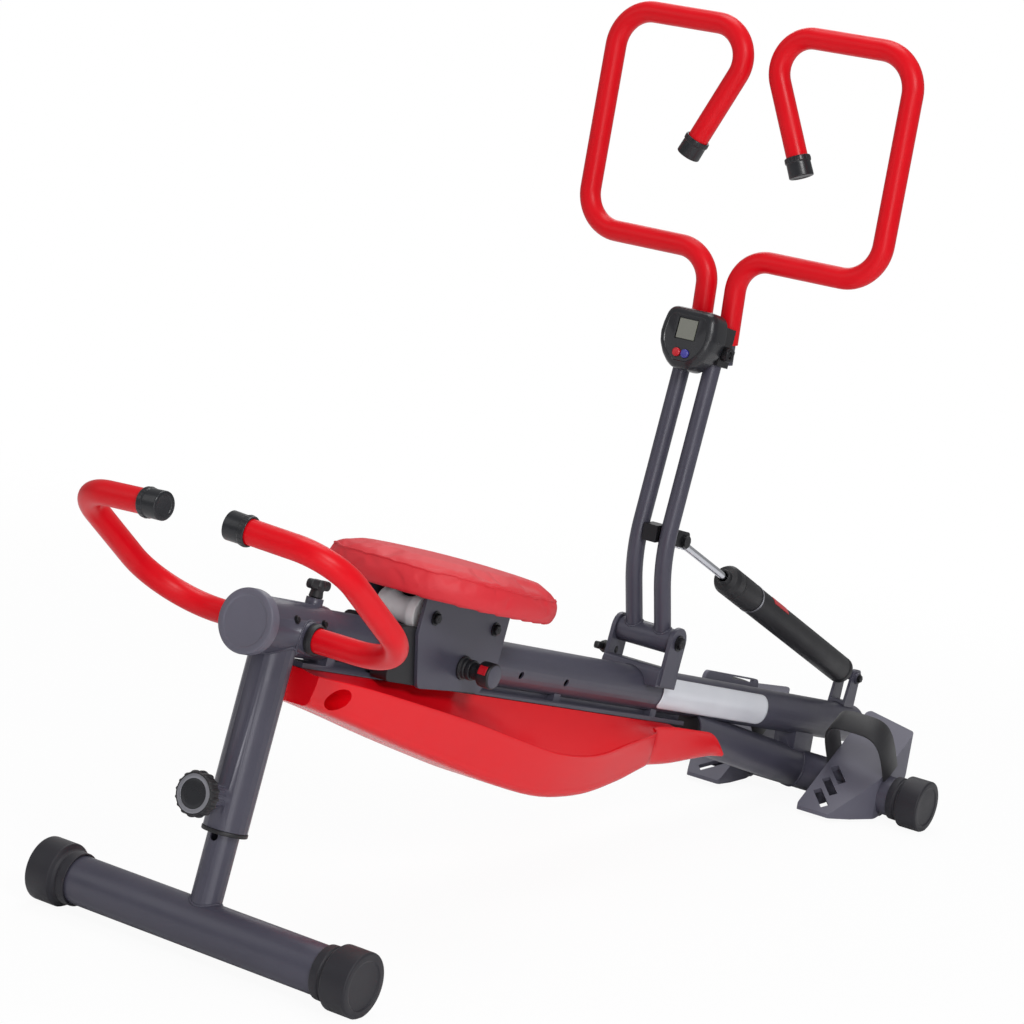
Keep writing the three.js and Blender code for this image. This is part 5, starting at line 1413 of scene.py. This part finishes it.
@dataclass
class PullPin:
    """Sprung pin on the right plate: housing with its red lock tab, plunger and knob."""

    s: float = 286
    n: float = -6
    base: float = 40.3
    socket_length: float = 14
    knob_gap: float = 14.3
    knob_length: float = 12
    pin_tip: float = 25.6

    def build(self) -> None:
        """Makes the pin's pieces."""
        place, start, end = RAIL.at(self.s, 0, self.n), self.base, self.base + self.socket_length
        turned("pull_pin_socket", [
            (4.3, start), (13, start), (13, start + 3), (11, start + 3), (11, start + 7), (10, start + 7.5),
            (10, start + 9), (11, start + 9.5), (11, end), (4.3, end), (4.3, start)],
               0.8, place, Along.BACK_Y, "seat_carriage", MOULDED_BLACK, "pull_pin_housing", count=48)
        grip = end + self.knob_gap
        face = grip + self.knob_length
        turned("pull_pin_plunger", [
            (0, self.pin_tip), (4, self.pin_tip), (4, end + GAP), (9, end + GAP), (9, grip - 3.5),
            (13.4, grip - 3.5), (13.8, grip), (13.8, face - 1.6), (12.8, face - 0.2), (0, face - 0.2)],
               0.9, place, Along.BACK_Y, "pull_pin", MOULDED_BLACK, "pull_pin_knob", count=56)
        # Painted light: a thin disc in the lighter grey powder coat on the end of the black knob stands for its face
        # lit head-on.
        turned("pull_pin_face_painted_light", [(0, face - 1), (12.4, face - 1), (12.1, face), (0, face)],
               0.4, place, Along.BACK_Y, "pull_pin", POWDER_COAT, count=56)
        angles = [math.radians(52 + 5 * k) for k in range(9)]
        tab = [(-13.6 * math.sin(a), 13.6 * math.cos(a)) for a in angles]
        tab += [(-14.7 * math.sin(a), 14.7 * math.cos(a)) for a in reversed(angles)]
        mounted(bevelled(slab("pull_pin_lock_mark", tab, 3.5 - face, 1 - grip, place), 0.3), "pull_pin", RED_KEY)


@dataclass
class SeatCushion:
    """Upholstered seat pad that wraps its board, swelled by a short cloth run, with piping round its top edge."""

    s: float = 270
    base: float = 57.8
    thickness: float = 43
    crown: float = 7
    half_length: float = 134
    half_width: float = 114
    draw: float = 7
    power: float = 2.5
    board: tuple[float, float, float] = (118.3, 98.3, 10.1)
    inset: float = 3
    cap: float = 4
    voxel: float = 4.5
    pressure: float = 4
    frames: int = 20

    def _rings(self) -> list[list[Vector]]:
        """Rows of the pad: recess for the board, rim, sides and crown."""
        rise = self.thickness - self.crown
        a, b = self.half_length - self.inset, self.half_width - self.inset
        rows = [self.board, (*self.board[:2], 0.6)]
        for share, drawn in ((0, 1.1), (0.08, 0.5), (0.3, 0), (0.6, 0.08), (0.78, 0.35), (0.9, 0.8), (1, 1.8)):
            rows.append((a - self.draw * drawn, b - self.draw * drawn, rise * share))
        for share in (0.85, 0.65, 0.42, 0.2, 0.06):
            rows.append(((a - 13) * share, (b - 13) * share, rise + (self.crown - 2.0) * (1 - share * share)))
        return [[Vector((x, y, height)) for x, y in super_ellipse(long, wide, self.power, 96)]
                for long, wide, height in rows]

    def build(self) -> None:
        """Makes the pad and its piping."""
        place = RAIL.at(self.s, 0, self.base)
        pad = stacked("seat_pad", self._rings(), place, 80)
        self._swell(pad, place)
        smooth = pad.modifiers.new("smooth", "SUBSURF")
        smooth.levels = smooth.render_levels = 1
        mounted(pad, "seat_carriage", LEATHERETTE, "seat_cushion")
        self._piping(pad, place)

    def _swell(self, pad: Piece, place: Matrix) -> None:
        """Blows the pad up by a short cloth run while its board keeps the underside in place.

        Args:
            pad: the pad before the run.
            place: the pad's local frame.
        """
        remesh = pad.modifiers.new("even_faces", "REMESH")
        remesh.mode, remesh.voxel_size = "VOXEL", self.voxel * MM
        settled(pad)
        to_local = place.inverted()
        rest = [vertex.co.copy() for vertex in pad.data.vertices]
        held = [i for i, co in enumerate(rest) if self._on_board(to_local @ co)]
        pad.vertex_groups.new(name="on_board").add(held, 1.0, "REPLACE")
        cloth = pad.modifiers.new("swell", "CLOTH")
        cloth.settings.vertex_group_mass = "on_board"
        cloth.settings.use_pressure = True
        cloth.settings.uniform_pressure_force = self.pressure
        cloth.settings.effector_weights.gravity = 0
        scene = bpy.context.scene
        for number in range(1, self.frames + 1):
            scene.frame_set(number)
        moved = pad.evaluated_get(bpy.context.evaluated_depsgraph_get()).data
        swelled = [vertex.co.copy() for vertex in moved.vertices]
        pad.modifiers.clear()
        scene.frame_set(1)
        longest = max((end - start).length for start, end in zip(rest, swelled))
        LOG.info("cloth run moved the pad by up to %.1f mm", longest / MM)
        limit = self.cap * MM
        for vertex, start, end in zip(pad.data.vertices, rest, swelled):
            step = end - start
            vertex.co = start + (step if step.length < limit else step.normalized() * limit)
        pad.data.shade_smooth()

    def _on_board(self, point: Vector) -> bool:
        """Tells which points of the pad stay in place.

        Args:
            point: a local point of the pad.

        Returns:
            Whether it lies on the board or on the rim's underside.
        """
        long, wide, high = self.board
        inside = abs(point.x / (long + 3)) ** self.power + abs(point.y / (wide + 3)) ** self.power < 1
        return point.z < 2.5 or (inside and point.z < high + 2.5)

    def _piping(self, pad: Piece, place: Matrix) -> None:
        """Lays a thin cord on the edge between the pad's side and top.

        Args:
            pad: the finished pad.
            place: the pad's local frame.
        """
        to_local = place.inverted()
        rise = self.thickness - self.crown
        line = []
        for x, y in super_ellipse(self.half_length, self.half_width, self.power, 120):
            found, spot, _, _ = pad.closest_point_on_mesh(place @ Vector((x, y, rise * 0.98)))
            line.append(to_local @ spot if found else Vector((x, y, rise)))
        mounted(tube("seat_piping", [*line, line[0]], 1.3, place, LEATHERETTE, 12), "seat_carriage", LEATHERETTE)


@dataclass
class Yoke:
    """Bracket on the rail that carries the mast, with its pivot bolt and wing screw."""

    ear_out: float = 41.5
    bolt_radius: float = 6
    wing_n: float = 36
    wing_base: float = 41.8
    wings: tuple[float, float] = (13, 8)

    def build(self) -> None:
        """Makes the yoke's pieces."""
        mounted(refined("yoke_bracket", "mast_yoke", 0.7), "frame", POWDER_COAT)
        place = RAIL.at(*MAST_PIVOT)
        rod = round_bar("mast_pivot_rod", self.bolt_radius, self.ear_out + 0.5, 0.5, place, 40)
        mounted(rod, "frame", BLACK_OXIDE, "mast_pivot_bolt")
        bolts("mast_pivot_heads", both_ends(self.ear_out + 0.4), self.bolt_radius * 1.2, place, "frame")
        winged_screw("yoke_wing_screw", RAIL.at(MAST_PIVOT.x, 0, self.wing_n), Along.Y, self.wing_base, *self.wings)


@dataclass
class Mast:
    """Foot tube, two bent rods and the clevis of the cylinder."""

    rod_radius: float = 10
    sleeve: tuple[float, float, float] = (6.3, 15, 36)
    elbow: tuple[float, float] = (759, 350)
    elbow_bend: float = 150
    joint: tuple[float, float] = (803, 590)
    rod_top: float = 8

    def build(self) -> None:
        """Makes the mast's steel pieces."""
        pivot = RAIL.matrix() @ MAST_PIVOT
        bore, radius, half = self.sleeve
        turned("mast_foot_sleeve", ring_profile(bore, radius, -half, half), 0.8,
               Place(pivot.x / MM, pivot.z / MM).matrix(), Along.Y, "mast", POWDER_COAT, "mast_foot_tube", count=56)
        start = MACHINE.matrix().inverted() @ pivot
        elbow, joint = Vector((self.elbow[0], 0, self.elbow[1])), Vector((self.joint[0], 0, self.joint[1]))
        up = (joint - elbow).normalized()
        lift = (elbow - start).normalized()
        for hand in Hand:
            shift = Vector((0, hand.value * ROD_Y, 0))
            corners = [start + lift * 12 + shift, elbow + shift, joint + up * self.rod_top + shift]
            rod = tube(f"mast_bent_rod_{hand.label}", rounded_path(corners, [self.elbow_bend], 2), self.rod_radius,
                       MACHINE.matrix(), POWDER_COAT)
            mounted(rod, "mast", POWDER_COAT, f"mast_rod_{hand.label}")
            line = saddle_line(start + shift, lift, Vector((0, 1, 0)), self.rod_radius, radius)
            weld(f"mast_rod_weld_{hand.label}", line, MACHINE.matrix(), "mast", 1.4)
        mounted(refined("damper_clevis", "cylinder_clevis", 0.5), "mast", BLACK_OXIDE)


@dataclass
class Console:
    """Tube clamp on the mast, with the shield-shaped console on its rear face."""

    rear: float = -13.1
    rise: float = 7.5
    face_height: float = 71
    half_width: float = 36
    shield: tuple[tuple[float, float], ...] = (
        (0.68, 1), (0.9, 0.84), (0.98, 0.4), (1, 0.08), (0.93, -0.27), (0.75, -0.6), (0.53, -0.84), (0.3, -1))
    levels: tuple[tuple[float, float], ...] = (
        (0, 1.2), (-1.2, 0.2), (-4, 0), (-23, 0), (-27, 0.4), (-30.5, 2.2), (-32.8, 5), (-34, 8.5), (-33.4, 9.3))
    lcd: tuple[float, float] = (24, 23)
    lcd_rise: float = 10.5
    button_spacing: float = 11.2
    button_drop: float = 17.5
    well_radius: float = 5.6
    bolt_spot: tuple[float, float, float] = (-4, 0, 2)
    clamp_front: tuple[float, float, float] = (37, 31.5, 20)
    clamp_step: tuple[float, float] = (14, -4)

    def _outline(self, inset: float) -> Pairs:
        """Shield outline in local Y and Z.

        Args:
            inset: how far it is drawn in at its widest.

        Returns:
            Points of the outline.
        """
        half = self.face_height / 2
        side = [(self.half_width * wide, half * high) for wide, high in self.shield]
        shape = rounded_outline([(-y, z) for y, z in side] + side[::-1], [14], 4)
        return [(y * (1 - inset / self.half_width), z * (1 - inset / half)) for y, z in shape]

    def build(self) -> None:
        """Makes the clamp, the housing and what is on its face."""
        place = UPPER_MAST.at(self.rear, 0, self.rise)
        clamp = refined("mast_clamp", "mast_tube_clamp")
        mounted(bevelled(carved(clamp, *self._corners()), 1.2), "mast", MOULDED_BLACK)
        rings = [[Vector((x, y, z)) for y, z in self._outline(inset)] for x, inset in self.levels]
        housing = stacked("console_moulding", rings, place, 50)
        low, top, side = self.lcd_rise - self.lcd[1] / 2, self.lcd_rise + self.lcd[1] / 2, self.lcd[0] / 2
        window = slab("window_cutter", [(-40, low - 2.2), (-31.5, low - 1), (-31.5, top + 1), (-40, top + 2.2)],
                      -side - 1.2, side + 1.2, place)
        keys = [place @ Matrix.Translation((0, y, -self.button_drop))
                for y in (self.button_spacing / 2, -self.button_spacing / 2)]
        wells = [lathe("well_cutter", bar_profile(self.well_radius, -40, -28), key, Along.X, 32) for key in keys]
        mounted(bevelled(carved(housing, window, *wells), 0.4), "mast", ABS_BLACK, "console_housing")
        glass = slab("console_window", [(-33.2, low), (-31.6, low), (-31.6, top), (-33.2, top)], -side, side, place)
        mounted(bevelled(glass, 0.3), "mast", LCD, "console_lcd")
        for (name, finish), key in zip((("red", RED_KEY), ("blue", BLUE_KEY)), keys):
            turned(f"{name}_key", [(0, -29.8), (5, -29.8), (5, -35.4), (3.6, -36.4), (0, -36.7)], 0.7, key, Along.X,
                   f"button_{name}", finish, f"console_button_{name}", steps=4, count=40)
        turned("clamp_bolt_head", [(0, 31.8), (8.6, 31.8), (8.6, 40.8), (4, 40.8), (4, 37.5), (0, 37.5)], 1.2,
               UPPER_MAST.at(*self.bolt_spot), Along.BACK_Y, "clamp_bolt", BLACK_OXIDE, "mast_clamp_bolt", count=40)

    def _corners(self) -> list[Piece]:
        """Cutters that round the clamp's two front corners and step its front up."""
        x, y, r = self.clamp_front
        rear, low = self.clamp_step
        step = [[Vector((a, b, z)) for a, b in ((rear, -y - 1), (x + 1, -y - 1), (x + 1, y + 1), (rear, y + 1))]
                for z in (low - 20, low)]
        cutters = [stacked("step_cutter", step, UPPER_MAST.matrix())]
        for hand in Hand:
            angles = [math.pi / 2 * k / 10 for k in range(11)]
            arc = [(x - r + r * math.sin(a), y - r + r * math.cos(a)) for a in angles]
            outline = [*arc, (x + 1, y - r), (x + 1, y + 1), (x - r, y + 1)]
            rings = [[Vector((a, hand.value * b, z)) for a, b in outline] for z in (-20, 20)]
            cutters.append(stacked("corner_cutter", rings, UPPER_MAST.matrix()))
        return cutters


@dataclass
class Handlebars:
    """Two foam covered loops that rise from the clamp and turn back inwards."""

    leg: tuple[float, float] = (827, 578)
    foam_z: float = 602
    corner: tuple[float, float] = (822, 704)
    outer_x: float = 823
    top: tuple[float, float] = (829.5, 963)
    outer_y: float = 196
    inner_y: float = 2
    end: tuple[float, float] = (74, 811)
    bends: tuple[float, ...] = (40, 45, 45, 39)

    def build(self) -> None:
        """Makes both loops."""
        for hand in Hand:
            corners = [Vector((x, hand.value * y, z)) for x, y, z in (
                (self.leg[0], ROD_Y, self.leg[1]), (self.corner[0], ROD_Y, self.corner[1]),
                (self.outer_x, self.outer_y, self.corner[1]), (self.top[0], self.outer_y, self.top[1]),
                (self.top[0], self.inner_y, self.top[1]), (self.top[0], *self.end))]
            bare = self.foam_z - self.leg[1]
            FoamGrip("handlebar_loop", "handlebar", hand, "mast", corners, self.bends, bare).build()


@dataclass
class Cylinder:
    """Hydraulic cylinder: chromed rod with its eye, sealing collar, barrel with its lug, ring and red mark."""

    length: float = 571.2
    rod_radius: float = 4.6
    rod_end: float = 380
    piston: tuple[float, float] = (14.2, 16)
    collar_start: float = 140
    collar_end: float = 227
    collar_radius: float = 18.5
    barrel_radius: float = 18
    mark: tuple[float, float] = (266, 312)
    mark_deg: float = 135
    lug_radius: float = 11
    lug_bore: float = 4.8
    pin: tuple[float, float, float] = (1304, 0, 62)
    pin_half: float = 16.5
    pin_head: float = 5.0

    def build(self) -> None:
        """Makes the cylinder's pieces."""
        place = CYLINDER.matrix()
        rod_radius, rod_end, (piston, piston_length) = self.rod_radius, self.rod_end, self.piston
        rod = lathe("piston_shaft", soft_profile([
            (0, 6), (rod_radius, 6), (rod_radius, rod_end), (piston, rod_end), (piston, rod_end + piston_length),
            (0, rod_end + piston_length)], 0.6), place, Along.X, 56)
        eye = round_bar("eye_ball", 10, 6.5, 1.2, place, 48)
        neck = lathe("eye_neck", soft_profile([(0, 0), (6.2, 0), (6.2, 20), (4.7, 24), (0, 24)], 0.8), place,
                     Along.X, 40)
        mounted(joined("piston_rod_chromed", rod, eye, neck), "piston_rod", CHROME, "piston_rod")
        start, end, radius = self.collar_start, self.collar_end, self.collar_radius
        turned("cylinder_collar", [
            (6.3, start), (9, start), (9.5, start + 7), (radius - 3, start + 9), (radius, start + 16),
            (radius, start + 30), (radius - 1.2, start + 31), (radius - 1.2, start + 34), (radius, start + 35),
            (radius, end - 12), (radius - 0.7, end - 11), (radius - 0.7, end), (6.3, end), (6.3, start)],
               1.2, place, Along.X, "damper_barrel", MOULDED_BLACK, "damper_collar")
        skin = self.barrel_radius
        turned("cylinder_ring", ring_profile(skin - 0.1, skin + 0.7, end - 0.2, end + 3), 0.2, place, Along.X,
               "damper_barrel", ZINC)
        self._barrel(place)
        angles = [math.radians(self.mark_deg + a) for a in range(-16, 17, 4)]
        loop = [((skin + 0.05) * math.cos(a), (skin + 0.05) * math.sin(a)) for a in angles]
        loop += [((skin + 0.45) * math.cos(a), (skin + 0.45) * math.sin(a)) for a in reversed(angles)]
        mark = stacked("cylinder_mark", [[Vector((x, y, z)) for y, z in loop] for x in self.mark], place)
        mounted(mark, "damper_barrel", RED_KEY)

    def _barrel(self, place: Matrix) -> None:
        """Makes the barrel with its crimped end, its lug, and the bracket and pin that the lug turns on.

        Args:
            place: the cylinder's frame.
        """
        start, end, r = self.collar_end + 3.2, self.length - 26, self.barrel_radius
        shell = lathe("barrel_skin", soft_profile([
            (0, start), (r, start), (r, end - 16), (r - 0.9, end - 14.5), (r - 0.9, end - 11.5), (r, end - 10),
            (r, end - 3), (r - 3, end), (0, end)], 0.9), place, Along.X, 64)
        half, tip = self.lug_radius, self.length + self.lug_radius
        outline = rounded_outline([(end - 6, -half), (tip, -half), (tip, half), (end - 6, half)],
                                  [0.5, half - 0.2, half - 0.2, 0.5], 10)
        lug = bevelled(slab("barrel_lug", outline, -8, 8, place), 1.0)
        hole = lathe("lug_hole", bar_profile(self.lug_bore, -20, 20),
                     place @ Matrix.Translation((self.length, 0, 0)), Along.Y, 40)
        mounted(joined("cylinder_barrel", shell, carved(lug, hole)), "damper_barrel", MOULDED_BLACK, "damper_barrel")
        mounted(refined("damper_bracket", "cylinder_bracket", 0.5), "frame", POWDER_COAT)
        bolts("cylinder_pin_heads", both_ends(self.pin_half), self.pin_head, RAIL.at(*self.pin), "frame")


@dataclass
class Pedals:
    """Slotted foot plates that rock on the front foot, each with a webbing strap."""

    inner_y: float = 57
    outer_y: float = 134
    heel: tuple[float, float] = (-93, -22)
    toe: tuple[float, float] = (57, 76)
    strap_rear: float = 88
    strap_front: float = 124
    rise: float = 62
    power: float = 4
    slots: tuple[float, ...] = (24, 47, 70)
    slot_half: tuple[float, float] = (17, 5.2)
    slot_y: float = 80.5
    slot_turn_deg: float = -45
    thickness: float = 3
    anchor: float = 9

    def build(self) -> None:
        """Makes both pedals and straps."""
        tilt = math.degrees(math.atan2(self.toe[1] - self.heel[1], self.toe[0] - self.heel[0]))
        heel = Place(FRONT_FOOT.x + self.heel[0], FRONT_FOOT.z + self.heel[1], -tilt)
        for hand in Hand:
            body = f"pedal_{hand.label}"
            plate = carved(refined(body, f"foot_plate_{hand.label}"), *self._slots(hand, heel))
            mounted(bevelled(plate, 0.6), body, MOULDED_GREY)
            mounted(self._strap(hand, heel), body, WEBBING, f"pedal_strap_{hand.label}")

    def _slots(self, hand: Hand, place: Place) -> list[Piece]:
        """Cutters for the plate's slanting slots.

        Args:
            hand: which pedal.
            place: the plate's frame, from its heel along its top.

        Returns:
            One cutter for each slot.
        """
        long, wide = self.slot_half
        outline = ((-long, -wide), (long, -wide), (long, wide), (-long, wide))
        rings = [[Vector((x, y, z)) for x, y in outline] for z in (-14, 8)]
        turn = Matrix.Rotation(hand.value * math.radians(self.slot_turn_deg), 4, "Z")
        return [stacked("slot_cutter", rings, place.at(along, hand.value * self.slot_y, 0) @ turn)
                for along in self.slots]

    def _strap(self, hand: Hand, place: Place) -> Piece:
        """Band of webbing arched over the plate from side to side.

        Args:
            hand: which pedal.
            place: the plate's frame, from its heel along its top.

        Returns:
            The strap, closed all round.
        """
        low, high = self.inner_y - 0.3, self.outer_y + 0.3
        middle, half = (low + high) / 2, (high - low) / 2

        def arch(extra: float) -> Pairs:
            """Arch at a distance outside the inner face."""
            made = []
            for i in range(49):
                angle = math.pi * i / 48
                c, s = math.cos(angle), math.sin(angle)
                across = math.copysign(abs(c) ** (2 / self.power), c)
                made.append((middle - (half + extra) * across, (self.rise + extra) * abs(s) ** (2 / self.power)))
            return [(made[0][0], -self.anchor), *made, (made[-1][0], -self.anchor)]

        rear, front = self.strap_rear, self.strap_front
        rings = []
        for x, inset in ((rear, 0.8), (rear + 1, 0), (front - 1, 0), (front, 0.8)):
            loop = arch(self.thickness - inset) + arch(inset)[::-1]
            rings.append([Vector((x, hand.value * y, z)) for y, z in loop])
        return stacked(f"foot_strap_{hand.label}", rings, place.matrix(), 50)


# Stage


@dataclass
class Studio:
    """Pale floor, soft lamps and the camera of the picture."""

    world_strength: float = 0.32
    floor_radius: float = 9
    fade: tuple[float, float, float] = (0.9, 2.4, 0.94)
    aim_height: float = 0.4
    lamps: tuple[tuple[str, tuple[float, float, float], float, float], ...] = (
        ("key", (-1.7, -2.3, 2.2), 1.0, 44), ("fill", (-2.4, 1.8, 1.9), 1.8, 9),
        ("side", (-2.6, -2.0, 0.7), 1.0, 16), ("top", (0.4, 0.3, 3.2), 1.6, 34), ("rim", (2.2, 1.2, 2.0), 1.4, 12))
    lens: float = 111.46
    eye: tuple[float, float, float] = (-3.03457, -1.7648, 0.9906)
    right: tuple[float, float, float] = (0.5424, -0.8253, 0.1573)
    up: tuple[float, float, float] = (0.0570, 0.2230, 0.9732)
    back: tuple[float, float, float] = (-0.8382, -0.5189, 0.1680)

    def build(self) -> None:
        """Makes the world, the floor, the lamps and the camera."""
        bpy.context.scene.view_settings.view_transform = "Standard"
        self._world()
        self._floor()
        for name, spot, size, power in self.lamps:
            self._lamp(name, Vector(spot), size, power)
        self._camera()

    @staticmethod
    def _seen(tree: Tree) -> Socket:
        """Adds the nodes that tell what the camera sees.

        Args:
            tree: the tree that gets the nodes.

        Returns:
            A socket that is one where the camera looks, also through glass, and zero elsewhere.
        """
        path = add_node(tree, "ShaderNodeLightPath")
        seen = add_node(tree, "ShaderNodeMath", {"operation": "MAXIMUM"},
                        {0: path.outputs["Is Camera Ray"], 1: path.outputs["Is Transmission Ray"]})
        return seen.outputs[0]

    def _world(self) -> None:
        """White where the camera looks, plain soft light elsewhere."""
        world = bpy.data.worlds.new("studio")
        bpy.context.scene.world = world
        world.use_nodes = True
        tree = world.node_tree
        tree.nodes.clear()
        soft, white = (
            add_node(tree, "ShaderNodeBackground", None, {"Color": (1, 1, 1, 1), "Strength": strength}).outputs[0]
            for strength in (self.world_strength, 1.0))
        mixed = add_node(tree, "ShaderNodeMixShader", None, {0: self._seen(tree), 1: soft, 2: white})
        add_node(tree, "ShaderNodeOutputWorld", None, {"Surface": mixed.outputs[0]})

    def _floor(self) -> None:
        """Round floor, matt near the machine and plain white far away."""
        verts = [(x, y, 0) for x, y in super_ellipse(self.floor_radius, self.floor_radius, 2, 64)]
        floor = make_piece("floor", verts, [list(range(64))], Matrix.Translation((0, 0, -0.5 * MM)))
        if floor.data.polygons[0].normal.z < 0:
            floor.data.flip_normals()
        material = bpy.data.materials.new("pale_studio_floor")
        material.use_nodes = True
        tree = material.node_tree
        tree.nodes.clear()
        coords = add_node(tree, "ShaderNodeTexCoord")
        far = add_node(tree, "ShaderNodeVectorMath", {"operation": "LENGTH"}, {0: coords.outputs["Object"]})
        near, away, least = self.fade
        fade = add_node(tree, "ShaderNodeMapRange", {"interpolation_type": "SMOOTHSTEP"}, {
            "Value": far.outputs["Value"], "From Min": near, "From Max": away, "To Min": least, "To Max": 1.0})
        share = add_node(tree, "ShaderNodeMath", {"operation": "MULTIPLY"}, {0: fade.outputs[0], 1: self._seen(tree)})
        matt = add_node(tree, "ShaderNodeBsdfDiffuse", None, {"Color": (0.87, 0.87, 0.88, 1)})
        glow = add_node(tree, "ShaderNodeEmission", None, {"Color": (1, 1, 1, 1), "Strength": 1.0})
        mixed = add_node(tree, "ShaderNodeMixShader", None,
                         {0: share.outputs[0], 1: matt.outputs[0], 2: glow.outputs[0]})
        add_node(tree, "ShaderNodeOutputMaterial", None, {"Surface": mixed.outputs[0]})
        floor.data.materials.append(material)

    def _lamp(self, name: str, spot: Vector, size: float, power: float) -> None:
        """Adds one square lamp that faces the machine.

        Args:
            name: the lamp's name.
            spot: where it stands, in metres.
            size: length of its sides in metres.
            power: its power in watts.
        """
        light = bpy.data.lights.new(name, "AREA")
        light.size, light.energy = size, power
        lamp = linked(name, light)
        lamp.location = spot
        lamp.rotation_euler = (spot - Vector((0, 0, self.aim_height))).to_track_quat("Z", "Y").to_euler()

    def _camera(self) -> None:
        """Adds the camera at the picture's place and angle."""
        data = bpy.data.cameras.new("picture_camera")
        data.lens, data.sensor_width = self.lens, 36
        camera = linked("picture_camera", data)
        columns = Matrix((self.right, self.up, self.back)).transposed()
        camera.matrix_world = Matrix.Translation(self.eye) @ columns.to_4x4()
        bpy.context.scene.camera = camera


def main() -> None:
    """Builds the studio and every sub-assembly in order."""
    logging.basicConfig(level=logging.INFO, format="%(message)s")
    Studio().build()
    assemblies = [
        Foot("rear", "rear_leg", REAR_FOOT, 200), Foot("front", "frame", FRONT_FOOT, 194), RearPost(), RearHead(),
        PushUpHandles(), Rail(), Hull(), FrontStrut(), Carriage(), PullPin(), SeatCushion(), Yoke(), Mast(),
        Console(), Handlebars(), Cylinder(), Pedals(),
    ]
    for assembly in assemblies:
        LOG.info("building %s", type(assembly).__name__)
        assembly.build()
    bpy.context.view_layer.update()


if __name__ == "__main__":
    main()
